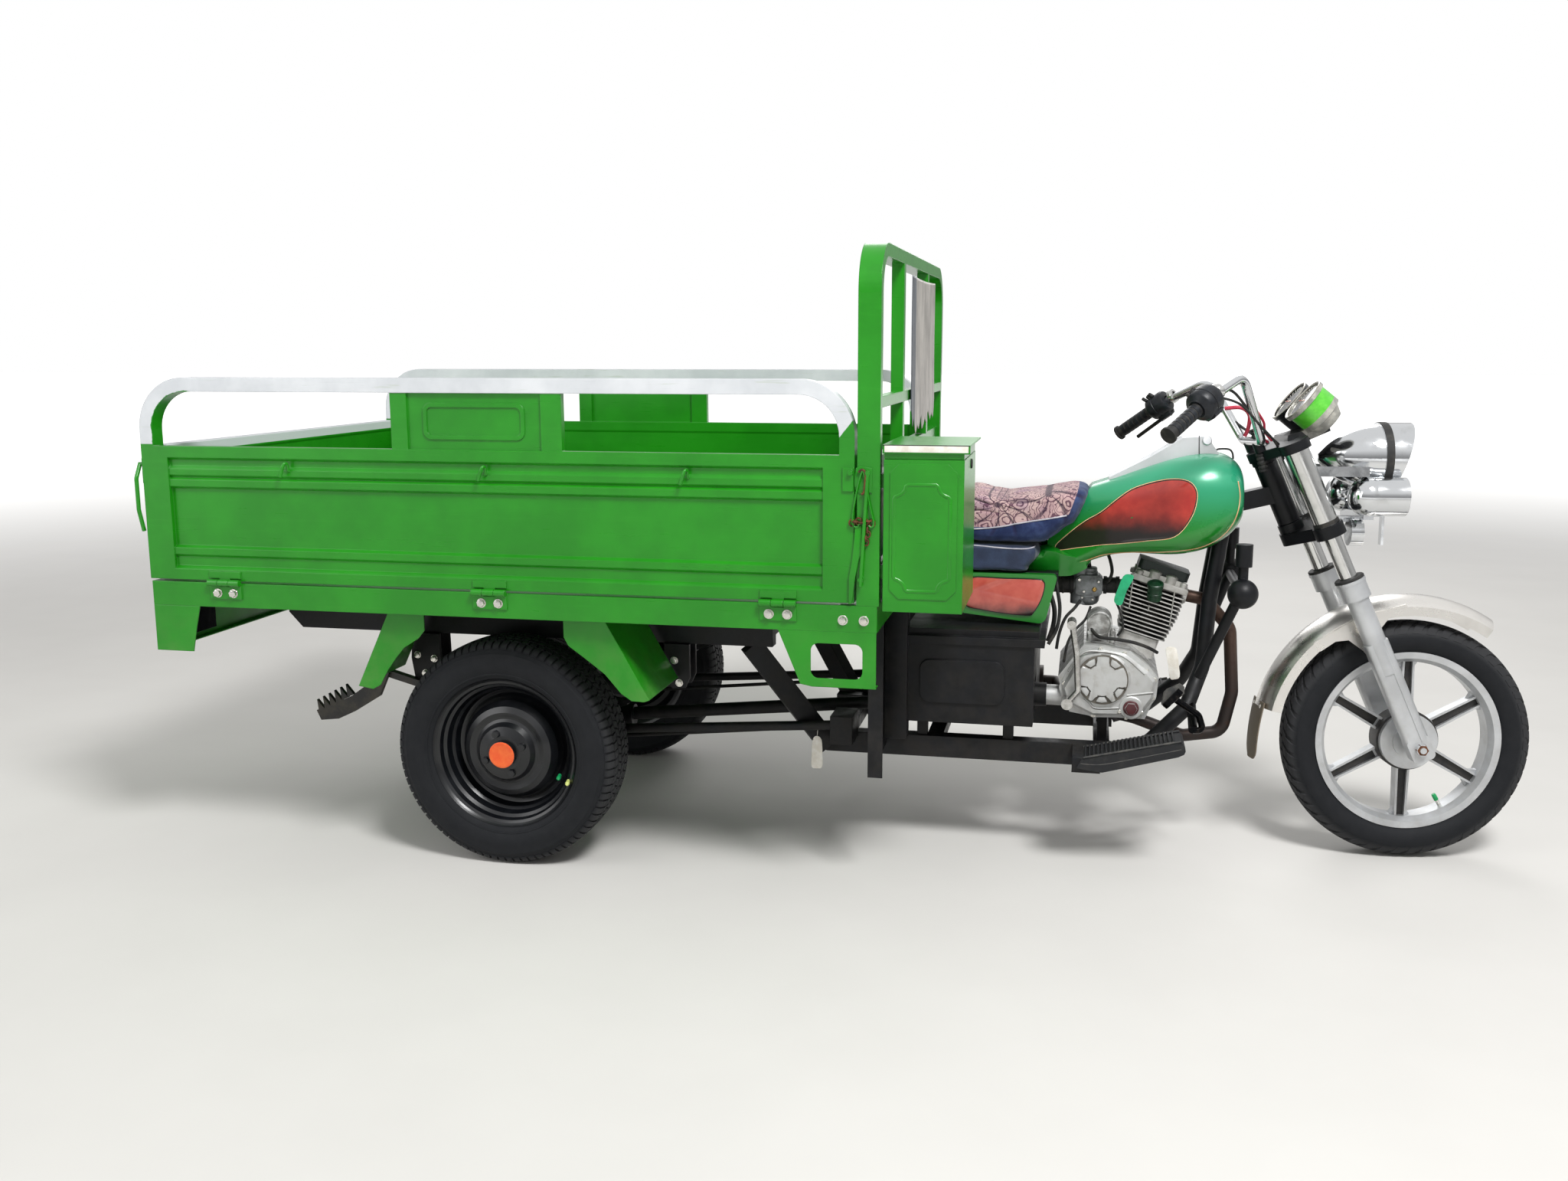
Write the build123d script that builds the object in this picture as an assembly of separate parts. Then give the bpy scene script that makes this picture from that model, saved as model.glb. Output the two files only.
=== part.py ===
"""Cargo motor tricycle: drop-side load bed on two rear wheels, motorcycle front end.

Axes: +X forward, +Y to the machine's left, +Z up, ground at Z = 0. Millimetres and degrees.
While the pieces are shaped, X is measured from the rear edge of the load bed. As they are
written, all of them move together so that the middle of the footprint is at the origin.
The steered pieces are shaped straight ahead and then turned to the angle they park at.
"""
import os
from math import atan2, cos, degrees, radians, sin, sqrt

from build123d import *

# Load bed
BED_LENGTH = 1800.0
BED_WIDTH = 1275.0
HALF_BED = BED_WIDTH / 2
SILL_BOTTOM = 640.0
SILL_TOP = 700.0
SILL_DEPTH = 40.0
SHEET = 3.0
FLOOR_RIB_HIGH = 4.0
FLOOR_RIB_WIDE = 26.0
FLOOR_RIBS = 9
BEARER_HIGH = 40.0
BEARER_WIDE = 50.0
BEARER_STATIONS = (60.0, 480.0, 900.0, 1320.0, 1740.0)

# Drop sides, tailgate and their hinges
BOARD_GAP = 6.0
BOARD_BOTTOM = SILL_TOP + BOARD_GAP
PANEL_TOP = 1031.0
RAIL_TOP = 1195.0
HOOP_WALL = 34.0
HOOP_DEEP = 40.0
HOOP_BEND = 125.0
BOARD_REAR = -3.0
BOARD_FRONT = 1748.0
PANEL_DEEP = 24.0
STILE_WIDE = 36.0
FRAME_HIGH = 26.0
HINGE_RADIUS = 8.0
HINGE_PIN = 4.0
HINGE_RUN = 0.05
HINGE_WIDE = 84.0
HINGE_OUT = 10.0
LEAF = 4.0
SIDE_HINGES = (203.0, 890.0, 1578.0)
TAIL_HINGES = (-430.0, 0.0, 430.0)
BOLT_RADIUS = 8.0
BOLT_HIGH = 5.0
TAILGATE_DEEP = 35.0
TAILGATE_GAP = 6.0
ROPE_HOOKS = (388.0, 890.0, 1372.0)

# Headboard and toolbox
POST_X = (1754.0, 1804.0)
POST_WALL = 30.0
HEAD_TOP = 1487.0
HEAD_BEND = 110.0
INNER_POST = 30.0
INNER_POST_Y = 250.0
CROSSBAR_Z = (1133.0, 1158.0)
BOX_X = (1812.0, 1986.0)
BOX_Y = (-637.5, -345.0)
BOX_Z = (690.0, 1024.0)
BOX_LID_TOP = 1056.0
BOX_LID_OVER = 12.0

# Chassis
RAIL_Y = 330.0
RAIL_WIDE = 40.0
RAIL_Z = (536.0, 616.0)
RAIL_REAR = 190.0
RAIL_FRONT = 1500.0
LOWER_Y = 190.0
LOWER_WIDE = 40.0
LOWER_Z = (240.0, 294.0)
LOWER_X = (1570.0, 2330.0)

# Wheels
REAR_AXLE_X = 866.0
REAR_RADIUS = 282.0
REAR_TYRE_WIDE = 165.0
REAR_RIM_RADIUS = 187.0
REAR_RIM_WIDE = 132.0
CAP_RADIUS = 33.5
CAP_OUT = 78.0
HALF_TRACK = 475.0
WHEELBASE = 2170.0
FRONT_AXLE_X = REAR_AXLE_X + WHEELBASE
FRONT_RADIUS = 297.0
FRONT_TYRE_WIDE = 108.0
FRONT_RIM_RADIUS = 222.0
FRONT_RIM_WIDE = 84.0
HUB_RADIUS = 74.0
BRAKE_PANEL_RADIUS = 68.7

# Fork and steering
RAKE = 24.2
FORK_OFFSET = 54.0
LEG_Y = 117.0
STEER_TURN = 7.3
COVER_RADIUS = 28.5
STANCHION_RADIUS = 20.5
SLIDER_RADIUS = 26.0
TOP_YOKE = (782.0, 806.0)
LOW_YOKE = (560.0, 590.0)
SLIDER_TOP = 445.0
BAR_RADIUS = 11.0

RAKE_BACK = Vector(-sin(radians(RAKE)), 0, cos(radians(RAKE)))
RAKE_FORE = Vector(cos(radians(RAKE)), 0, sin(radians(RAKE)))
FRONT_AXLE = Vector(FRONT_AXLE_X, 0, FRONT_RADIUS)
STEER_POINT = FRONT_AXLE - RAKE_FORE * FORK_OFFSET
STEER_AXIS = Axis(STEER_POINT, RAKE_BACK)


def block(x, y, z):
    """Block between pairs of limits."""
    centre = Pos((x[0] + x[1]) / 2, (y[0] + y[1]) / 2, (z[0] + z[1]) / 2)
    return centre * Box(x[1] - x[0], y[1] - y[0], z[1] - z[0])


def across(outline, y):
    """Outline in X and Z, run from y[0] to y[1]."""
    return extrude(Plane.XZ.offset(-y[1]) * outline, amount=y[1] - y[0], dir=(0, -1, 0))


def along(outline, x):
    """Outline in Y and Z, run from x[0] to x[1]."""
    return extrude(Plane.YZ.offset(x[0]) * outline, amount=x[1] - x[0], dir=(1, 0, 0))


def upright(outline, z):
    """Outline in X and Y, run from z[0] to z[1]."""
    return extrude(Plane.XY.offset(z[0]) * outline, amount=z[1] - z[0], dir=(0, 0, 1))


def shape(*points):
    """Flat outline through points."""
    return Polygon(*points, align=None)


def rod(start, end, radius):
    """Round bar between two points."""
    run = Vector(*end) - Vector(*start)
    return extrude(Plane(Vector(*start), z_dir=run) * Circle(radius), amount=run.length)


def beam(start, end, wide, tall):
    """Rectangular tube between two points, its wide side level."""
    run = Vector(*end) - Vector(*start)
    level = Vector(0, 0, 1).cross(run)
    return extrude(Plane(Vector(*start), x_dir=level, z_dir=run) * Rectangle(wide, tall), amount=run.length)


def bent_tube(points, bends, radius):
    """Round tube of straight runs and bends."""
    path = FilletPolyline(*points, radius=bends)
    return sweep(Plane(path @ 0, z_dir=path % 0) * Circle(radius), path=path)


def largest(piece):
    """The biggest solid of a cut piece."""
    return max(piece.solids(), key=lambda solid: solid.volume)


def mirrored(piece):
    """The same piece on the other side of the machine."""
    return mirror(piece, about=Plane.XZ)


def both(*pieces):
    """Pieces of the right side and their copies on the left."""
    return list(pieces) + [mirrored(piece) for piece in pieces]


def parked(*pieces):
    """Steered pieces turned to the angle they park at."""
    return [piece.rotate(STEER_AXIS, STEER_TURN) for piece in pieces]


def fork_at(up, fore, y):
    """Point beside the fork: up the leg, ahead of the leg and sideways."""
    return FRONT_AXLE + RAKE_BACK * up + RAKE_FORE * fore + Vector(0, y, 0)


def spun(outline, x, y, z):
    """Wheel form: an outline of radius and width turned about an axle along Y."""
    return Pos(x, y, z) * revolve(Plane.XY * outline, axis=Axis.Y)


def hoop(low, high, top, wall, bend):
    """Outline of an upside-down U of tube, standing on local height zero."""
    outer = shape((low, 0), (high, 0), (high, top), (low, top))
    outer = fillet(outer.vertices().group_by(Axis.Y)[-1], bend)
    inner = shape((low + wall, 0), (high - wall, 0), (high - wall, top - wall), (low + wall, top - wall))
    inner = fillet(inner.vertices().group_by(Axis.Y)[-1], bend - wall)
    return outer - inner


# Panel relief: height above the panel's foot, depth of the outer face behind the frame
PANEL_RELIEF = (
    (0.0, 0.0), (26.0, 0.0), (34.0, 9.0), (56.0, 9.0), (62.0, 3.0), (78.0, 3.0), (84.0, 12.0),
    (222.0, 12.0), (228.0, 3.0), (244.0, 3.0), (250.0, 9.0), (256.0, 3.0), (270.0, 3.0),
    (278.0, 9.0), (292.0, 9.0), (298.0, 0.0), (325.0, 0.0),
)


def panel_section(deep):
    """Pressed panel in section: local X is depth from the outer face, local Y is height."""
    outer = [(relief, height) for height, relief in PANEL_RELIEF]
    inner = [(deep - (0.0 if relief == 0.0 else 3.0), height) for height, relief in PANEL_RELIEF]
    return shape(*(outer + inner[::-1]))


def hinge(station, fixed):
    """One half of a drop hinge on the right side; the fixed half carries the pin."""
    axis_y = -HALF_BED - HINGE_OUT
    face_y = -HALF_BED
    third = HINGE_WIDE / 3
    low = station - HINGE_WIDE / 2
    knuckles = [(low, low + third - 1), (low + 2 * third + 1, low + HINGE_WIDE)] if fixed else [
        (low + third, low + 2 * third)]
    leaf_z = (SILL_BOTTOM + 21, SILL_TOP - 8) if fixed else (BOARD_BOTTOM + 6, BOARD_BOTTOM + 23)
    piece = block((low, low + HINGE_WIDE), (face_y - LEAF, face_y), leaf_z)
    for start, end in knuckles:
        barrel = rod((start, axis_y, SILL_TOP + 2), (end, axis_y, SILL_TOP + 2), HINGE_RADIUS)
        web = block((start, end), (face_y - LEAF, face_y), (min(leaf_z[1], SILL_TOP), max(leaf_z[0], SILL_TOP)))
        piece += barrel + web
    piece -= block((low, low + HINGE_WIDE), (face_y, face_y + SILL_DEPTH), (SILL_BOTTOM, PANEL_TOP))
    pin_ends = (low + 2, axis_y, SILL_TOP + 2), (low + HINGE_WIDE - 2, axis_y, SILL_TOP + 2)
    if fixed:
        piece += rod(*pin_ends, HINGE_PIN)
        for side in (-1, 1):
            bolt = (station + side * HINGE_WIDE / 4, face_y - LEAF, SILL_BOTTOM + 36)
            piece += rod(bolt, (bolt[0], bolt[1] - BOLT_HIGH, bolt[2]), BOLT_RADIUS)
    else:
        piece -= rod(*pin_ends, HINGE_PIN + HINGE_RUN)
    return piece


def tail_hinge(station, fixed):
    """The same hinge half, turned round to the rear edge of the bed."""
    turned = hinge(0, fixed).rotate(Axis.Z, -90)
    return Pos(HALF_BED, station, 0) * turned


def bed_frame():
    """Pressed channel sills round a ribbed sheet floor, with bearers across below it."""
    full_x = (0, BED_LENGTH)
    full_y = (-HALF_BED, HALF_BED)
    ring = block(full_x, full_y, (SILL_BOTTOM, SILL_TOP))
    ring -= block((SILL_DEPTH, BED_LENGTH - SILL_DEPTH), (-HALF_BED + SILL_DEPTH, HALF_BED - SILL_DEPTH),
                  (SILL_BOTTOM, SILL_TOP))
    ring -= block((SHEET, BED_LENGTH - SHEET), (-HALF_BED + SHEET, HALF_BED - SHEET),
                  (SILL_BOTTOM + SHEET, SILL_TOP - SHEET))
    floor = ring + block(full_x, full_y, (SILL_TOP - SHEET, SILL_TOP))
    pitch = (BED_WIDTH - 2 * SILL_DEPTH) / FLOOR_RIBS
    for index in range(FLOOR_RIBS):
        y = -HALF_BED + SILL_DEPTH + pitch * (index + 0.5)
        half = FLOOR_RIB_WIDE / 2
        rib = shape((y - half, SILL_TOP), (y + half, SILL_TOP), (y + half / 2, SILL_TOP + FLOOR_RIB_HIGH),
                    (y - half / 2, SILL_TOP + FLOOR_RIB_HIGH))
        floor += along(rib, (SILL_DEPTH, BED_LENGTH - SILL_DEPTH - 40))
    for station in BEARER_STATIONS:
        floor += block((station - BEARER_WIDE / 2, station + BEARER_WIDE / 2),
                       (-HALF_BED + SHEET, HALF_BED - SHEET),
                       (SILL_TOP - SHEET - BEARER_HIGH, SILL_TOP - SHEET))
    for station in SIDE_HINGES:
        floor += hinge(station, True) + mirrored(hinge(station, True))
    for station in TAIL_HINGES:
        floor += tail_hinge(station, True)
    for station in (1724.0, 1771.0):
        start = (station, -HALF_BED, SILL_BOTTOM + 27)
        bolt = rod(start, (station, -HALF_BED - BOLT_HIGH, start[2]), BOLT_RADIUS)
        floor += bolt + mirrored(bolt)
    return floor


def side_board():
    """Drop side: tube hoop, pressed panel between stiles, backboard plate and rope hooks."""
    outer_y = -HALF_BED
    height = RAIL_TOP - BOARD_BOTTOM
    tube = hoop(BOARD_REAR, BOARD_FRONT, height, HOOP_WALL, HOOP_BEND)
    piece = across(Pos(0, BOARD_BOTTOM) * tube, (outer_y, outer_y + HOOP_DEEP))
    inside = (BOARD_REAR + HOOP_WALL, BOARD_FRONT - HOOP_WALL)
    section = Pos(outer_y, BOARD_BOTTOM) * panel_section(PANEL_DEEP)
    piece += along(section, (inside[0] - 1, inside[1] + 1))
    for start in (inside[0], inside[1] - STILE_WIDE):
        piece += block((start, start + STILE_WIDE), (outer_y, outer_y + PANEL_DEEP), (BOARD_BOTTOM, PANEL_TOP))
    rail_low = RAIL_TOP - HOOP_WALL
    for start, end in ((658.0, 699.0), (1027.0, 1077.0)):
        piece += block((start, end), (outer_y + 2, outer_y + 22), (PANEL_TOP - 1, rail_low + 1))
    piece += block((690.0, 1035.0), (outer_y + 8, outer_y + 12), (PANEL_TOP - 1, rail_low + 1))
    mark_middle = (862.0, (PANEL_TOP + rail_low) / 2)
    mark = Pos(*mark_middle) * (RectangleRounded(250, 84, 20) - RectangleRounded(230, 64, 12))
    piece += across(mark, (outer_y + 5, outer_y + 9))
    for station in ROPE_HOOKS:
        hook = [(station, outer_y + 2, 975), (station, outer_y - 8, 1003), (station - 6, outer_y - 14, 985),
                (station - 13, outer_y - 14, 962)]
        piece += bent_tube(hook, 5, 4)
    for station in SIDE_HINGES:
        piece += hinge(station, False)
    catch = block((1722, 1746), (outer_y - 4, outer_y), (953, 1004))
    piece += catch + rod((1740, outer_y - 2, 994), (1740, outer_y - 12, 994), 6)
    latch_x = BOARD_REAR - 16
    piece += block((BOARD_REAR - 4, BOARD_REAR + 1), (outer_y + 4, outer_y + 32), (940, 1000))
    piece += rod((BOARD_REAR - 3, outer_y + 15, 985), (latch_x, outer_y + 15, 985), 5)
    latch = [(latch_x, outer_y + 15, 988), (latch_x, outer_y - 4, 952), (latch_x, outer_y - 4, 875),
             (latch_x, outer_y + 10, 822)]
    piece += bent_tube(latch, 20, 5)
    return piece


def tailgate():
    """Rear drop board between the drop sides, with a latch at each end."""
    half = HALF_BED - HOOP_DEEP - TAILGATE_GAP
    piece = across(Pos(0, BOARD_BOTTOM) * panel_section(TAILGATE_DEEP), (-half, half))
    for low in (-half, half - STILE_WIDE):
        piece += block((0, TAILGATE_DEEP), (low, low + STILE_WIDE), (BOARD_BOTTOM, PANEL_TOP))
    for station in TAIL_HINGES:
        piece += tail_hinge(station, False)
    for side in (-1, 1):
        y = side * (half - 12)
        piece += block((-5, 0), (y - 10, y + 10), (940, 1000))
    return piece


def headboard():
    """Welded tube hoop, two inner posts, a cross bar and a pressed panel below."""
    foot = SILL_TOP
    tube = hoop(-HALF_BED, HALF_BED, HEAD_TOP - foot, POST_WALL, HEAD_BEND)
    piece = along(Pos(0, foot) * tube, POST_X)
    inner_y = HALF_BED - POST_WALL
    for side in (-1, 1):
        y = side * INNER_POST_Y
        piece += block((POST_X[1] - INNER_POST, POST_X[1]), (y - 15, y + 15), (PANEL_TOP - 4, HEAD_TOP - POST_WALL + 1))
    piece += block((POST_X[1] - 25, POST_X[1]), (-inner_y - 1, inner_y + 1), CROSSBAR_Z)
    panel = Pos(POST_X[1] - 12, foot) * mirror(panel_section(PANEL_DEEP), about=Plane.YZ)
    piece += across(panel, (-inner_y - 1, inner_y + 1))
    for side in (-1, 1):
        face_y = side * HALF_BED
        out = side * 9
        piece += rod((1778, face_y, 994), (1778, face_y + out, 994), 6)
        pull = [(1778, face_y + out * 0.6, 994), (1772, face_y + out * 1.2, 884), (1764, face_y + out, 745)]
        piece += bent_tube(pull, 30, 4)
        piece += rod((1764, face_y, 760), (1764, face_y + out * 1.2, 760), 6)
    return piece


def hung_sheet():
    """Worn sheet that hangs in front of the headboard's middle opening."""
    x = (POST_X[1] + 0.2, POST_X[1] + 5.2)
    outline = shape((-150, HEAD_TOP - 50), (372, HEAD_TOP - 50), (376, 1120), (350, 1060), (290, 1085), (230, 1052),
                    (150, 1078), (60, 1050), (-20, 1074), (-110, 1056), (-158, 1120))
    return along(outline, x)


def toolbox():
    """Steel box open at the top, pressed panel on its outer side, on two straps to the headboard."""
    wall = 2.5
    body = block(BOX_X, BOX_Y, BOX_Z)
    body -= block((BOX_X[0] + wall, BOX_X[1] - wall), (BOX_Y[0] + wall, BOX_Y[1] - wall), (BOX_Z[0] + wall, BOX_Z[1] + 1))
    middle = ((BOX_X[0] + BOX_X[1]) / 2, (BOX_Z[0] + BOX_Z[1]) / 2 + 10)
    for z in (760.0, 960.0):
        body += block((POST_X[1], BOX_X[0]), (BOX_Y[0] + 20, BOX_Y[0] + 120), (z, z + 30))
    press = Pos(*middle) * shape(*octagon(146, 296, 20))
    body += across(press, (BOX_Y[0] - 2, BOX_Y[0]))
    hinge_y = BOX_Y[1] + 7
    hinge_z = BOX_Z[1] + 6
    for start in (BOX_X[0] + 25, BOX_X[1] - 75):
        pin = rod((start, hinge_y, hinge_z), (start + 50, hinge_y, hinge_z), 3)
        ears = block((start, start + 12), (BOX_Y[1], hinge_y + 1), (BOX_Z[1] - 20, hinge_z))
        ears += block((start + 38, start + 50), (BOX_Y[1], hinge_y + 1), (BOX_Z[1] - 20, hinge_z))
        knuckles = rod((start, hinge_y, hinge_z), (start + 12, hinge_y, hinge_z), 5)
        knuckles += rod((start + 38, hinge_y, hinge_z), (start + 50, hinge_y, hinge_z), 5)
        body += pin + ears + knuckles
    return body


def octagon(wide, tall, cut):
    """Corners of a rectangle with cut corners, about its middle."""
    x, y = wide / 2, tall / 2
    return ((-x + cut, -y), (x - cut, -y), (x, -y + cut), (x, y - cut), (x - cut, y), (-x + cut, y), (-x, y - cut),
            (-x, -y + cut))


def toolbox_lid():
    """Folded lid with a lip all round, on two hinges along its inner edge."""
    clear = 1.0
    low = BOX_Z[1] + clear
    lid_x = (BOX_X[0] - 2, BOX_X[1] + BOX_LID_OVER)
    lid = block(lid_x, (BOX_Y[0] - 6, BOX_Y[1]), (BOX_LID_TOP - 4, BOX_LID_TOP))
    skirt = block(lid_x, (BOX_Y[0] - 6, BOX_Y[0] - 3), (low + 12, BOX_LID_TOP))
    plug = block((BOX_X[0] + 1, BOX_X[1] - 1), (BOX_Y[0] + 1, BOX_Y[1] - 4), (low, BOX_LID_TOP - 3))
    plug -= block((BOX_X[0] + 4, BOX_X[1] - 4), (BOX_Y[0] + 4, BOX_Y[1] - 7), (low - 1, BOX_LID_TOP - 4))
    lid += skirt + plug
    hinge_y = BOX_Y[1] + 7
    hinge_z = BOX_Z[1] + 6
    for start in (BOX_X[0] + 25, BOX_X[1] - 75):
        strap = block((start + 13.5, start + 36.5), (BOX_Y[1] - 6, hinge_y), (BOX_LID_TOP - 4, BOX_LID_TOP - 1))
        strap += block((start + 13.5, start + 36.5), (hinge_y - 2, hinge_y + 2), (hinge_z, BOX_LID_TOP - 1))
        strap += rod((start + 13.5, hinge_y, hinge_z), (start + 36.5, hinge_y, hinge_z), 5)
        lid += strap
        lid -= rod((start, hinge_y, hinge_z), (start + 50, hinge_y, hinge_z), 3 + HINGE_RUN)
    return lid


def rear_apron():
    """Folded apron under the rear sill, its ends turned forward, with two sunk tail lamps."""
    low = 526.0
    plate = block((0, SHEET), (-HALF_BED, HALF_BED), (low, SILL_BOTTOM))
    lip = block((0, 22), (-HALF_BED, HALF_BED), (low, low + SHEET))
    piece = plate + lip
    cheek = shape((0, SILL_BOTTOM), (0, low), (100, low), (113, 588), (126, SILL_BOTTOM))
    for y in ((-HALF_BED, -HALF_BED + SHEET), (HALF_BED - SHEET, HALF_BED)):
        piece += across(cheek, y)
    for side in (-1, 1):
        piece -= block((-1, SHEET + 1), lamp_width(side), LAMP_Z)
    return piece


LAMP_Z = (546.0, 614.0)
LAMP_HALF = 75.0
LAMP_Y = 505.0


def lamp_width(side):
    """Limits of one tail lamp across the machine."""
    return side * LAMP_Y - LAMP_HALF, side * LAMP_Y + LAMP_HALF


def tail_lamps():
    """Tail lamps sunk in the apron."""
    return [block((-6, 26), lamp_width(side), LAMP_Z) for side in (-1, 1)]


# Mudguard cheeks at the rear wheels: X and Z around each outline, starting along its outer edge
MUDGUARD_REAR = ((611, 640), (522, 451), (560, 445), (580, 456), (601, 493), (624, 524), (647, 551), (685, 575),
                 (702, 596), (702, 640))
MUDGUARD_FRONT = ((1155, 640), (1262, 452), (1249, 447), (1219, 448), (1194, 464), (1155, 509), (1115, 539),
                  (1066, 574), (1055, 594), (1055, 640))
CHEEK_Y = 600.0
FLAP_INNER = 366.0


def mudguards():
    """Cheek plate and sloping inward plate before and behind each rear wheel."""
    pieces = []
    for outline in (MUDGUARD_REAR, MUDGUARD_FRONT):
        cheek = across(shape(*outline), (-CHEEK_Y - SHEET, -CHEEK_Y))
        top, foot = Vector(*outline[0]), Vector(*outline[1])
        inward = 1 if outline is MUDGUARD_REAR else -1
        flap = shape(outline[0], outline[1], (foot.X + inward * SHEET, foot.Y), (top.X + inward * SHEET, top.Y))
        pieces.append(cheek + across(flap, (-CHEEK_Y, -FLAP_INNER)))
    return both(*pieces)


def step_plate():
    """Folded step plate under the sill, with a rounded foot hole."""
    outline = shape((1577, SILL_BOTTOM), (1628, 518), (1655, 513), (1799, 513), (1799, SILL_BOTTOM))
    hole = Pos(1710, 573) * RectangleRounded(117, 80, 18)
    piece = across(outline - hole, (-HALF_BED, -HALF_BED + SHEET))
    lip = block((1655, 1799), (-HALF_BED, -HALF_BED + 30), (513, 513 + SHEET))
    return piece + lip


def serrated_step():
    """Curved black plate with a row of teeth, on an arm below the right chassis rail."""
    y = (-391.0, -380.0)
    arm = shape((277, 323), (289, 297), (340, 303), (387, 325), (462, 371), (490, 432), (490, 452), (456, 456),
                (425, 398), (380, 366), (300, 330))
    piece = across(arm, y)
    for index in range(6):
        x = 284.0 + index * 17
        z = 318.0 + index * 9
        piece += across(shape((x, z), (x + 18, z + 8), (x - 4, z + 34)), y)
    bar = beam((462, y[1] + 10, 434), (596, y[1] + 10, 398), 20, 18)
    return piece + bar


def chassis_rails():
    """Two box rails under the bed with a bearer channel on each."""
    end = shape((RAIL_REAR, 576), (RAIL_REAR + 38, RAIL_Z[0]), (RAIL_FRONT, RAIL_Z[0]), (RAIL_FRONT, RAIL_Z[1]),
                (RAIL_REAR, RAIL_Z[1]))
    half = RAIL_WIDE / 2
    rail = across(end, (-RAIL_Y - half, -RAIL_Y + half))
    bearer = block((RAIL_REAR, BED_LENGTH - SILL_DEPTH), (-RAIL_Y - half, -RAIL_Y + half),
                   (RAIL_Z[1], SILL_TOP - SHEET - BEARER_HIGH))
    return both(rail + bearer)


def chassis_crossmembers():
    """Box tubes between the chassis rails."""
    inner = RAIL_Y - RAIL_WIDE / 2
    return [block((x - 25, x + 25), (-inner, inner), (RAIL_Z[0] + 10, RAIL_Z[1] - 10)) for x in
            (250.0, 600.0, 1130.0, 1460.0)]


def frame_drops():
    """Slanting drops from the chassis rails to the lower rails, and the channel posts ahead of them."""
    start = (1440.0, -RAIL_Y + 2, RAIL_Z[0])
    end = (1618.0, -LOWER_Y - LOWER_WIDE / 2 - 20, LOWER_Z[1] - 30)
    drop = beam(start, end, 38, 52)
    drop -= block((1300, 1700), (-RAIL_Y - 60, 0), (RAIL_Z[0], 700))
    drop -= block((1500, 1800), (-LOWER_Y - LOWER_WIDE / 2, 0), (0, 400))
    post = block((1761, 1796), (-500, -LOWER_Y - LOWER_WIDE / 2), (266, SILL_BOTTOM))
    post -= block((1764, 1797), (-497, -LOWER_Y - LOWER_WIDE / 2), (260, SILL_BOTTOM + 1))
    eye = block((1636, 1692), (-THRUST_Y - 15, -LOWER_Y - LOWER_WIDE / 2), (LOWER_Z[1] - 10, 356))
    eye -= drop
    return both(drop, post, eye)


def lower_rails():
    """Two box rails low down that carry the battery box and engine."""
    half = LOWER_WIDE / 2
    outline = shape((LOWER_X[0] + 40, LOWER_Z[0]), (LOWER_X[1], LOWER_Z[0]), (LOWER_X[1], LOWER_Z[1]),
                    (LOWER_X[0], LOWER_Z[1]), (LOWER_X[0], LOWER_Z[0] + 30))
    return both(across(outline, (-LOWER_Y - half, -LOWER_Y + half)))


def lower_crossmembers():
    """Tubes across the lower rails; the front two rise in plates that hold the crankcase."""
    inner = LOWER_Y - LOWER_WIDE / 2
    pieces = []
    for x, plate in ((1640.0, False), (1880.0, False), (2300.0, True)):
        piece = block((x - 20, x + 20), (-inner, inner), (LOWER_Z[0] + 5, LOWER_Z[0] + 35))
        if plate:
            piece += block((x - 12, x + 12), (-110, -90), (LOWER_Z[0] + 30, ENGINE_Z[0]))
            piece += block((x - 12, x + 12), (90, 110), (LOWER_Z[0] + 30, ENGINE_Z[0]))
        pieces.append(piece)
    return pieces


# Front frame
HEAD_TUBE = (612.0, 770.0)
HEAD_TUBE_RADIUS = 27.0
DOWN_RADIUS = 19.0


def down_tubes():
    """Twin tubes that sweep up from the lower rails to the steering head."""
    points = [(LOWER_X[1], -LOWER_Y, LOWER_Z[0] + 27), (2410, -LOWER_Y + 8, 298), (2500, -150, 385),
              (2540, -80, 480), (2550, -52, 634), (2572, -44, 800), (2582, -16, 868)]
    return both(bent_tube(points, [80, 60, 60, 80, 60], DOWN_RADIUS) - backbone() - lower_rails()[0])


def backbone():
    """Steering head, the tube under the tank, the seat rails and the stays behind the engine."""
    low, high = HEAD_TUBE
    head = rod(steer_at(low), steer_at(high), HEAD_TUBE_RADIUS)
    spine = beam(SPINE_FRONT, SPINE_REAR, 46, SPINE_DEEP)
    neck = beam(steer_at(690), (2540, 0, 862), 44, SPINE_DEEP)
    piece = head + neck + spine
    piece += block((2150, 2180), (-123, 123), SEAT_RAIL_Z)
    for side in (-1, 1):
        y = side * 108
        piece += block((BED_LENGTH, 2180), (y - 15, y + 15), SEAT_RAIL_Z)
    piece += block((2160, 2180), (-22, 22), (SEAT_RAIL_Z[1] - 1, SPINE_REAR[2]))
    return piece - rod(steer_at(low - 5), steer_at(high + 5), STEM_RADIUS + 0.05)


SPINE_FRONT = (2560.0, 0.0, 868.0)
SPINE_REAR = (2170.0, 0.0, 760.0)
SPINE_DEEP = 44.0
SEAT_RAIL_Z = (686.0, 706.0)
STEM_RADIUS = 14.0


def steer_at(up):
    """Point on the steering axis."""
    return STEER_POINT + RAKE_BACK * up


# Engine
ENGINE_X = (2188.0, 2432.0)
ENGINE_Z = (350.0, 532.0)
ENGINE_Y = (-150.0, 150.0)
CYLINDER_LEAN = 17.0
CYLINDER_FOOT = (2385.0, 532.0)
FINS = 12
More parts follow.
